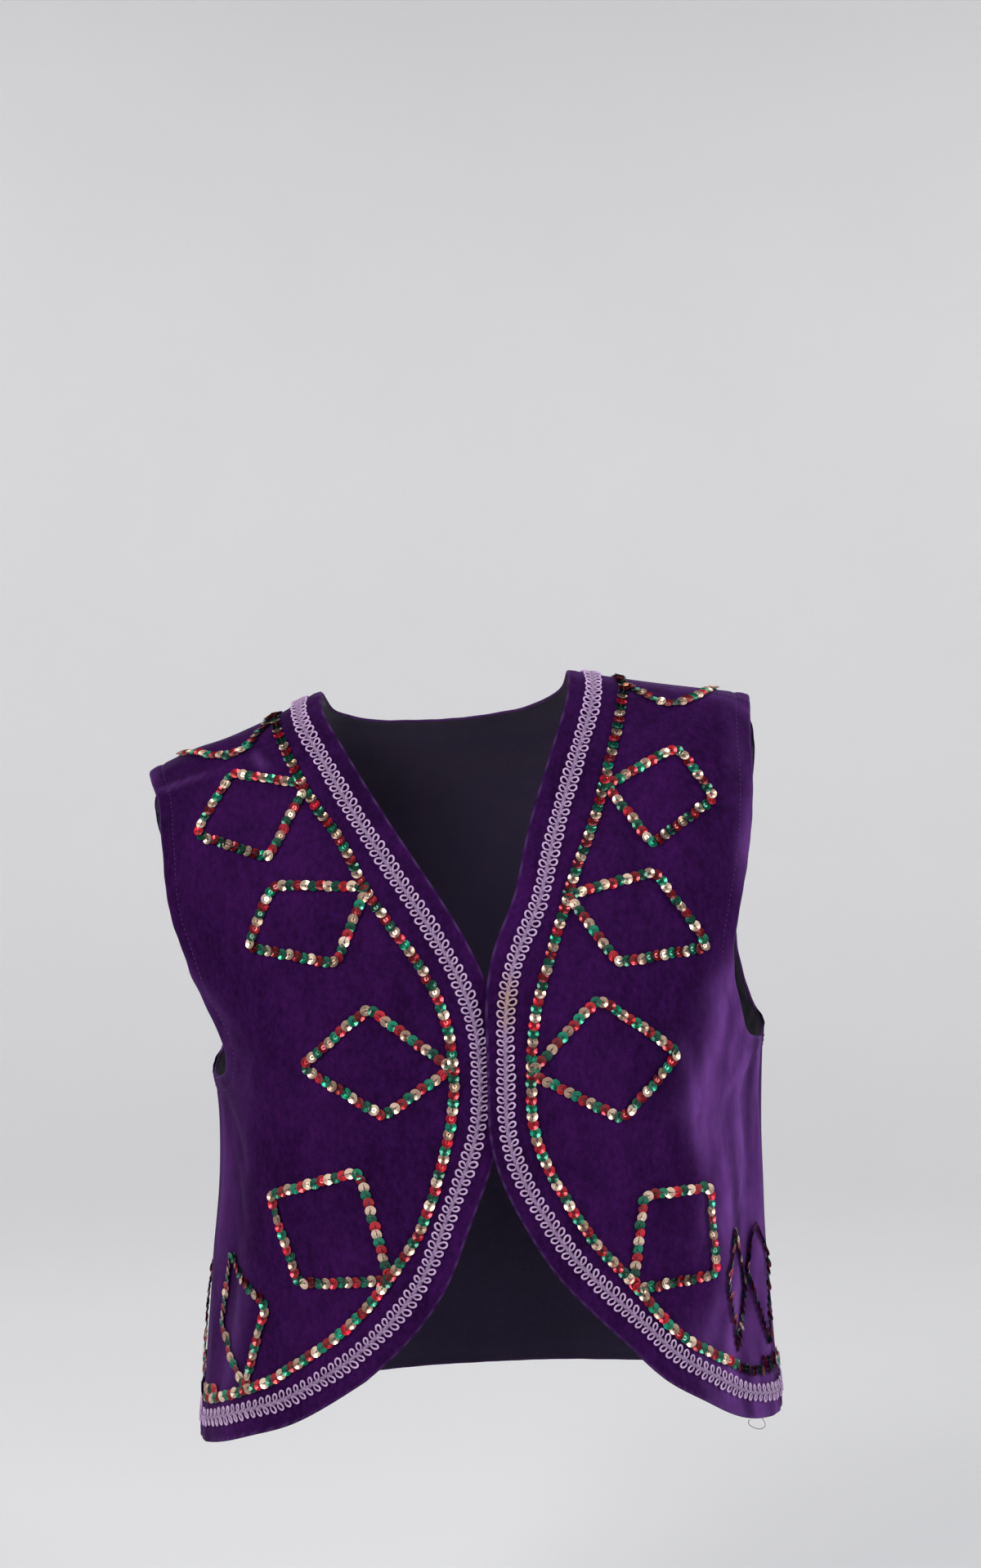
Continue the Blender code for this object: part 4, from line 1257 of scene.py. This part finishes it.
class VEST_PG_trim(bpy.types.PropertyGroup):
    """Sizes and colours of the gimp, the sequins and the threads."""

    gimp_half: bpy.props.FloatProperty(
        name="Gimp half width", description="From the middle of the gimp to the end of its loops",
        default=4.6 * MM, unit="LENGTH", precision=4)
    loop_pitch: bpy.props.FloatProperty(
        name="Loop pitch", description="Distance from loop to loop",
        default=4.55 * MM, unit="LENGTH", precision=4)
    yarn: bpy.props.FloatProperty(
        name="Yarn radius", description="Radius of the gimp's yarn",
        default=0.5 * MM, unit="LENGTH", precision=5)
    sequin: bpy.props.FloatProperty(
        name="Sequin radius", description="Radius of one cupped sequin",
        default=2.75 * MM, unit="LENGTH", precision=4)
    spacing: bpy.props.FloatProperty(
        name="Sequin spacing", description="Distance from sequin to sequin in a row",
        default=3.95 * MM, unit="LENGTH", precision=4)
    gimp_dark: bpy.props.FloatVectorProperty(
        name="Gimp, shaded", description="Colour between the yarn's plies",
        default=(0.20, 0.09, 0.28), min=0.0, max=1.0, subtype="COLOR")
    gimp_light: bpy.props.FloatVectorProperty(
        name="Gimp, lit", description="Colour of the yarn's plies",
        default=(0.80, 0.57, 0.85), min=0.0, max=1.0, subtype="COLOR")
    stain_at: bpy.props.FloatVectorProperty(
        name="Stain", description="Middle of the faint stain on the left gimp",
        default=(0.011, -0.103, -0.161), subtype="TRANSLATION", unit="LENGTH")


class Cut:
    """The three panels and their edge lines, worked out once for every operator."""

    panels = None

    @classmethod
    def made(cls, finer):
        """The panels, at a fineness."""
        if cls.panels is None or cls.panels["finer"] != finer:
            right, right_edge, right_arm = front_panel(
                "velvet_front_right", RIGHT_EDGE, RIGHT_HEM, RIGHT_ARMHOLE, -1.0, True, finer)
            left, left_edge, left_arm = front_panel(
                "velvet_front_left", LEFT_EDGE, LEFT_HEM, LEFT_ARMHOLE, 1.0, False, finer)
            back, neck_edge, hem_edge, back_arm = back_panel("velvet_back", finer)
            cls.panels = {
                "finer": finer, "right": right, "left": left, "back": back,
                "right_edge": right_edge, "left_edge": left_edge,
                "right_arm": right_arm, "left_arm": left_arm,
                "neck_edge": neck_edge, "hem_edge": hem_edge, "back_arm": back_arm,
            }
        return cls.panels


def area_of(grid):
    """Area in square metres of the smooth cloth over a grid."""
    points = surface(grid)
    first = np.cross(points[1:, :-1] - points[:-1, :-1], points[:-1, 1:] - points[:-1, :-1])
    second = np.cross(points[1:, :-1] - points[1:, 1:], points[:-1, 1:] - points[1:, 1:])
    return 0.5 * (np.linalg.norm(first, axis=-1).sum() + np.linalg.norm(second, axis=-1).sum())


class VEST_OT_velvet(bpy.types.Operator):
    """Make the two fronts and the back as thin velvet shells"""

    bl_idname = "vest.velvet"
    bl_label = "Velvet panels"

    def execute(self, context):
        """Build each shell and let it replace its solid."""
        settings = context.scene.vest_cloth
        cut = Cut.made(settings.finer)
        finishes = [velvet_finish(settings), backing_finish()]
        sizes = {"right": ("front_right", (0.19, 0.40)), "left": ("front_left", (0.19, 0.40)),
                 "back": ("back", (0.44, 0.40))}
        for key, (node, flat) in sizes.items():
            made = velvet_shell(cut[key], settings.wall, finishes)
            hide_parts(node)
            area_of(cut[key].grid)
        return {"FINISHED"}


class VEST_OT_gimp(bpy.types.Operator):
    """Make the looped gimp along the front edges, the back neck and the back hem"""

    bl_idname = "vest.gimp"
    bl_label = "Gimp braid"

    def execute(self, context):
        """Lay each strip beside its edge and let it replace its solid."""
        trim = context.scene.vest_trim
        cut = Cut.made(context.scene.vest_cloth.finer)
        colours = (tuple(trim.gimp_dark), tuple(trim.gimp_light))
        plain = yarn_finish("gimp_yarn", *colours)
        stained = yarn_finish("gimp_yarn_stained", *colours, tuple(trim.stain_at))
        strips = (
            ("gimp_front_right", "braid_front_right", "right", "right_edge", RIGHT_GIMP, plain),
            ("gimp_front_left", "braid_front_left", "left", "left_edge", LEFT_GIMP, stained),
            ("gimp_back_neck", "braid_back_neck", "back", "neck_edge", BACK_GIMP, plain),
            ("gimp_back_hem", "braid_back_hem", "back", "hem_edge", BACK_GIMP, plain),
        )
        for name, node, panel, edge, table, finish in strips:
            toward = -1.0 if edge in {"right_edge", "neck_edge"} else 1.0
            line = softened(even(cut[edge], EDGE_STEPS), GIMP_SOFTENING)
            line = set_back(line, toward, inset_by(table, line))
            track = Track(cut[panel], between_seams(line, panel, GIMP_END_GAP), GIMP_LIFT)
            points, quads, uv, inner = gimp_yarns(track, trim.loop_pitch, trim.yarn, trim.gimp_half)
            made = piece(name, points, quads, [finish], None, uv)
            # painted shade of the heart and inner bows, read by the finish
            carry(made, "inner", inner)
            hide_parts(node)
        return {"FINISHED"}


def between_seams(line, panel, short):
    """The part of a line that lies between its panel's seams, short of them by a distance."""
    turn = np.abs(line[:, 0])
    low = line[:, 1] < ROW_SPLIT_HEIGHT
    at_side = short / SIDE_RADIUS
    at_top = short / ROW_SHOULDER_RADIUS
    if panel == "back":
        turn = np.minimum(turn, 2.0 * np.pi - turn)
        return line[np.where(low, turn > SIDE_SEAM + at_side, turn > SHOULDER_SEAM + at_top)]
    return line[np.where(low, turn < SIDE_SEAM - at_side, turn < SHOULDER_SEAM - at_top)]


class VEST_OT_sequins(bpy.types.Operator):
    """Sew on the sequin rows and diamonds with their thread"""

    bl_idname = "vest.sequins"
    bl_label = "Sequins"

    def execute(self, context):
        """Lay every row and diamond of each panel and join them to one piece a panel."""
        trim = context.scene.vest_trim
        cut = Cut.made(context.scene.vest_cloth.finer)
        gold = foil_finish("sequin_gold", (0.24, 0.12, 0.075), (1.0, 0.76, 0.57), 0.95, 0.24)
        red = foil_finish("sequin_red", (0.10, 0.001, 0.004), (0.62, 0.012, 0.030), 0.9, 0.24)
        green = foil_finish("sequin_green", (0.0, 0.022, 0.012), (0.0, 0.27, 0.145), 0.9, 0.24)
        thread = thread_finish("dark_thread", (0.010, 0.007, 0.014), (0.04, 0.03, 0.05))
        rows = self.front_rows(cut, "right", "right_edge", -1.0, RIGHT_ROW, RIGHT_DIAMONDS)
        self.sew("sequins_front_right", cut, rows, trim, (gold, red, green, thread))
        rows = self.front_rows(cut, "left", "left_edge", 1.0, LEFT_ROW, LEFT_DIAMONDS)
        self.sew("sequins_front_left", cut, rows, trim, (gold, red, green, thread))
        self.sew("sequins_back", cut, self.back_rows(cut), trim, (gold, red, green, thread))
        return {"FINISHED"}

    @staticmethod
    def front_rows(cut, panel, edge, toward, table, diamonds):
        """The long row, its doubled end by the side seam, and the diamonds of a front."""
        line = softened(even(cut[edge], EDGE_STEPS))
        inset = inset_by(table, line)
        main = between_seams(set_back(line, toward, inset), panel, ROW_END_GAP)
        second = set_back(line, toward, inset + SECOND_ROW_ASIDE)
        second = between_seams(second, panel, ROW_END_GAP)
        length = run_of(second)
        second = second[length > length[-1] - SECOND_ROW_RUN]
        turned = TURNED if panel == "left" else 0.0
        spared = run_of(main)[-1] - TURNED_RUN
        rows = [(panel, main, 0, turned, spared), (panel, second, 1, turned, 0.0)]
        for number, corners in enumerate(diamonds):
            ring = rounded_corners(corners)
            if number == 0:
                ring = opened(ring[np.abs(ring[:, 0]) < SHOULDER_SEAM - SEAM_CLEAR])
            rows.append((panel, ring, number, turned if number >= TURNED_FROM else 0.0, 0.0))
        return rows

    @staticmethod
    def back_rows(cut):
        """Rows along the back neck and hem, the shoulder diamonds' rest and the side lozenges."""
        neck = set_back(even(cut["neck_edge"], SHORT_EDGE_STEPS), -1.0, NECK_ROW_INSET)
        hem = set_back(even(cut["hem_edge"], EDGE_STEPS), 1.0, HEM_ROW_INSET)
        rows = [("back", between_seams(neck, "back", ROW_END_GAP), 0, 0.0, 0.0),
                ("back", between_seams(hem, "back", ROW_END_GAP), 2, 0.0, 0.0)]
        for corners in (RIGHT_DIAMONDS[0], LEFT_DIAMONDS[0]):
            ring = rounded_corners(corners)
            ring = opened(ring[np.abs(ring[:, 0]) > SHOULDER_SEAM + SEAM_CLEAR])
            rows.append(("back", ring, 1, 0.0, 0.0))
        for number, corners in enumerate(BACK_DIAMONDS):
            rows.append(("back", rounded_corners(corners), number, 0.0, 0.0))
        return rows

    @staticmethod
    def sew(name, cut, rows, trim, finishes):
        """One piece of every sequin and thread of the rows."""
        points, quads, picks, tones, threads = [], [], [], [], []
        start = 0
        for salt, (panel, line, colour, turned, spared) in enumerate(rows):
            track = Track(cut[panel], line, 0.0)
            cups, corners, colours, tone, thread = sequin_row(
                track, trim.spacing, trim.sequin, colour, salt + 0.37, turned, spared)
            points.append(cups)
            quads.append(corners + start)
            picks.append(colours)
            tones.append(tone)
            threads.append(thread)
            start += len(cups)
        made = piece(name, np.concatenate(points), np.concatenate(quads), finishes[:3],
                     np.concatenate(picks), None, flat=True)
        carry(made, "tone", np.concatenate(tones))
        thread_points, thread_quads, uv = joined(threads)
        held = piece(name + "_thread", thread_points, thread_quads, [finishes[3]], None, uv)


def opened(line):
    """A ring that was cut by a seam, as one run from seam to seam."""
    gaps = np.linalg.norm(np.diff(surface(line), axis=0), axis=1)
    if gaps.max() > RING_GAP:
        split = int(gaps.argmax()) + 1
        line = np.concatenate([line[split:], line[:split]])
    keep = np.append(True, np.linalg.norm(np.diff(line, axis=0), axis=1) > 1e-9)
    return line[keep]


class VEST_OT_sewing(bpy.types.Operator):
    """Stitch the armhole hems and leave the loose thread at the hem"""

    bl_idname = "vest.sewing"
    bl_label = "Stitches and thread"

    def execute(self, context):
        """Build the hem stitches of each panel and the loose thread."""
        cut = Cut.made(context.scene.vest_cloth.finer)
        purple = thread_finish("purple_thread", (0.03, 0.006, 0.07), (0.10, 0.03, 0.20))
        sewn = (
            ("stitches_front_right", "right", [cut["right_arm"]], [1.0]),
            ("stitches_front_left", "left", [cut["left_arm"]], [-1.0]),
            ("stitches_back", "back", [cut["back_arm"], mirrored(cut["back_arm"])], [1.0, -1.0]),
        )
        for name, panel, lines, sides in sewn:
            points, quads, uv = joined([stitches(cut[panel], line, toward)
                                        for line, toward in zip(lines, sides)])
            made = piece(name, points, quads, [purple], None, uv)
        self.loose_thread(cut)
        return {"FINISHED"}

    @staticmethod
    def loose_thread(cut):
        """A thin thread that hangs from the left hem near its corner in one open loop."""
        dark = thread_finish("loose_thread", (0.02, 0.012, 0.03), (0.09, 0.06, 0.12))
        edge = cut["left_edge"]
        run = run_of(edge)
        place = read_at(edge, run, run[-1:] - THREAD_ROOT)
        root = cut["left"].face(place, -HALF_WALL)[0]
        lengths = reached(THREAD_RUN)
        path = root + spline(lengths, THREAD_RUN, np.linspace(0.0, lengths[-1], THREAD_STEPS)) * MM
        normal = np.broadcast_to(np.array([0.0, -1.0, 0.15]), path.shape)
        points, quads, uv = tube(path, normal, HOLDING_THREAD, THREAD_SIDES + 1)
        made = piece("loose_thread", points, quads, [dark], None, uv)


# the camera that fits the photo: pixels per cm at the mid plane, distance cm, picture height
# in pixels, sensor mm, and its place in metres
PIXELS_PER_CM, CAMERA_DISTANCE, PICTURE_HEIGHT = 23.0, 115.0, 1919.0
SENSOR = 24.0
CAMERA_PLACE = (0.0, -1.15, -0.0546)

# the studio: its sky, and the bowl's profile as radius and height in metres over the floor
SKY_COLOUR, SKY_STRENGTH = (0.93, 0.95, 1.0, 1.0), 0.2
FLOOR_LEVEL = -0.62
BOWL_PROFILE = np.array([
    (0.0, 0.0), (0.7, 0.0), (1.6, 0.0), (2.3, 0.04), (2.7, 0.22), (2.95, 0.6), (3.0, 1.2),
    (3.0, 2.6),
])
BOWL_ROWS, BOWL_TURNS = 40, 97
BOWL_HOLE = 0.0002
PAINT_COLOUR = (0.80, 0.80, 0.81)

# soft lights: name, place m, aim m, size m, watts, colour
LIGHTS = (
    ("window", (-1.1, -1.5, 0.9), (0.0, 0.0, -0.2), 1.0, 30.0, (1.0, 0.98, 0.95)),
    ("second_window", (1.5, -0.8, 0.4), (0.0, 0.0, -0.2), 0.8, 15.0, (0.97, 0.98, 1.0)),
    ("overhead", (0.0, 0.2, 1.9), (0.0, 0.0, -0.2), 1.4, 13.0, (1.0, 1.0, 1.0)),
    ("wall_left", (-1.3, 0.9, 1.4), (-0.6, 3.0, 0.1), 1.0, 9.0, (1.0, 1.0, 1.0)),
    ("wall_right", (1.3, 0.9, 1.4), (0.6, 3.0, 0.1), 1.0, 9.0, (1.0, 1.0, 1.0)),
)


class VEST_OT_stage(bpy.types.Operator):
    """Set up the pale studio, its soft light and the camera"""

    bl_idname = "vest.stage"
    bl_label = "Studio and camera"

    def execute(self, context):
        """Build the studio bowl, the lights and the camera."""
        self.bowl()
        for name, place, aim, size, watts, colour in LIGHTS:
            self.light(name, place, aim, size, watts, colour)
        world = bpy.data.worlds.new("studio")
        world.use_nodes = True
        sky = world.node_tree.nodes["Background"]
        sky.inputs["Color"].default_value = SKY_COLOUR
        sky.inputs["Strength"].default_value = SKY_STRENGTH
        context.scene.world = world
        context.scene.view_settings.view_transform = "Standard"
        lens = bpy.data.cameras.new("camera")
        lens.sensor_fit = "VERTICAL"
        lens.sensor_height = SENSOR
        lens.lens = PIXELS_PER_CM * CAMERA_DISTANCE / PICTURE_HEIGHT * SENSOR
        lens.clip_start = 0.02
        camera = bpy.data.objects.new("camera", lens)
        camera.location = CAMERA_PLACE
        camera.rotation_euler = (np.pi / 2.0, 0.0, 0.0)
        context.scene.collection.objects.link(camera)
        context.scene.camera = camera
        return {"FINISHED"}

    @staticmethod
    def bowl():
        """A round pale floor that turns up into a wall, from a profile carried round."""
        lengths = reached(BOWL_PROFILE)
        profile = spline(lengths, BOWL_PROFILE, np.linspace(0.0, lengths[-1], BOWL_ROWS))
        profile[0, 0] = BOWL_HOLE
        turns = np.linspace(0.0, 2.0 * np.pi, BOWL_TURNS)
        x = profile[:, 0][:, None] * np.cos(turns)[None]
        y = profile[:, 0][:, None] * np.sin(turns)[None]
        z = np.broadcast_to(profile[:, 1][:, None] + FLOOR_LEVEL, x.shape)
        points = np.stack([x, y, z], axis=-1).reshape(-1, 3)
        mesh = bpy.data.meshes.new("studio")
        mesh.from_pydata(points, [], sheet_quads(BOWL_ROWS, BOWL_TURNS)[:, ::-1].tolist())
        mesh.polygons.foreach_set("use_smooth", np.ones(len(mesh.polygons), dtype=bool))
        mesh.materials.append(wall_finish("studio_paint", PAINT_COLOUR, 3.0))
        made = bpy.data.objects.new("studio", mesh)
        bpy.context.scene.collection.objects.link(made)

    @staticmethod
    def light(name, place, aim, size, watts, colour):
        """A soft square light aimed at a point."""
        lamp = bpy.data.lights.new(name, "AREA")
        lamp.size = size
        lamp.energy = watts
        lamp.color = colour
        made = bpy.data.objects.new(name, lamp)
        made.location = place
        made.rotation_euler = (Vector(aim) - Vector(place)).to_track_quat("-Z", "Y").to_euler()
        bpy.context.scene.collection.objects.link(made)


class VEST_PT_panel(bpy.types.Panel):
    """The vest's settings and steps"""

    bl_idname = "VEST_PT_panel"
    bl_label = "Velvet vest"
    bl_space_type = "VIEW_3D"
    bl_region_type = "UI"
    bl_category = "Vest"

    def draw(self, context):
        """List the sizes, the colours and the operators."""
        layout = self.layout
        for group in (context.scene.vest_cloth, context.scene.vest_trim):
            column = layout.column()
            for key in group.bl_rna.properties.keys():
                if key not in {"rna_type", "name"}:
                    column.prop(group, key)
        for step in STEPS:
            layout.operator(step.bl_idname)


STEPS = (VEST_OT_velvet, VEST_OT_gimp, VEST_OT_sequins, VEST_OT_sewing, VEST_OT_stage)
CLASSES = (VEST_PG_cloth, VEST_PG_trim) + STEPS + (VEST_PT_panel,)


def register():
    """Add the settings, the operators and the panel."""
    for each in CLASSES:
        bpy.utils.register_class(each)
    bpy.types.Scene.vest_cloth = bpy.props.PointerProperty(type=VEST_PG_cloth)
    bpy.types.Scene.vest_trim = bpy.props.PointerProperty(type=VEST_PG_trim)


def unregister():
    """Take away what register added."""
    del bpy.types.Scene.vest_trim
    del bpy.types.Scene.vest_cloth
    for each in reversed(CLASSES):
        bpy.utils.unregister_class(each)


def main():
    """Make every piece and the stage."""
    register()
    bpy.ops.vest.velvet()
    bpy.ops.vest.gimp()
    bpy.ops.vest.sequins()
    bpy.ops.vest.sewing()
    bpy.ops.vest.stage()
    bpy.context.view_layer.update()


if __name__ == "__main__":
    main()
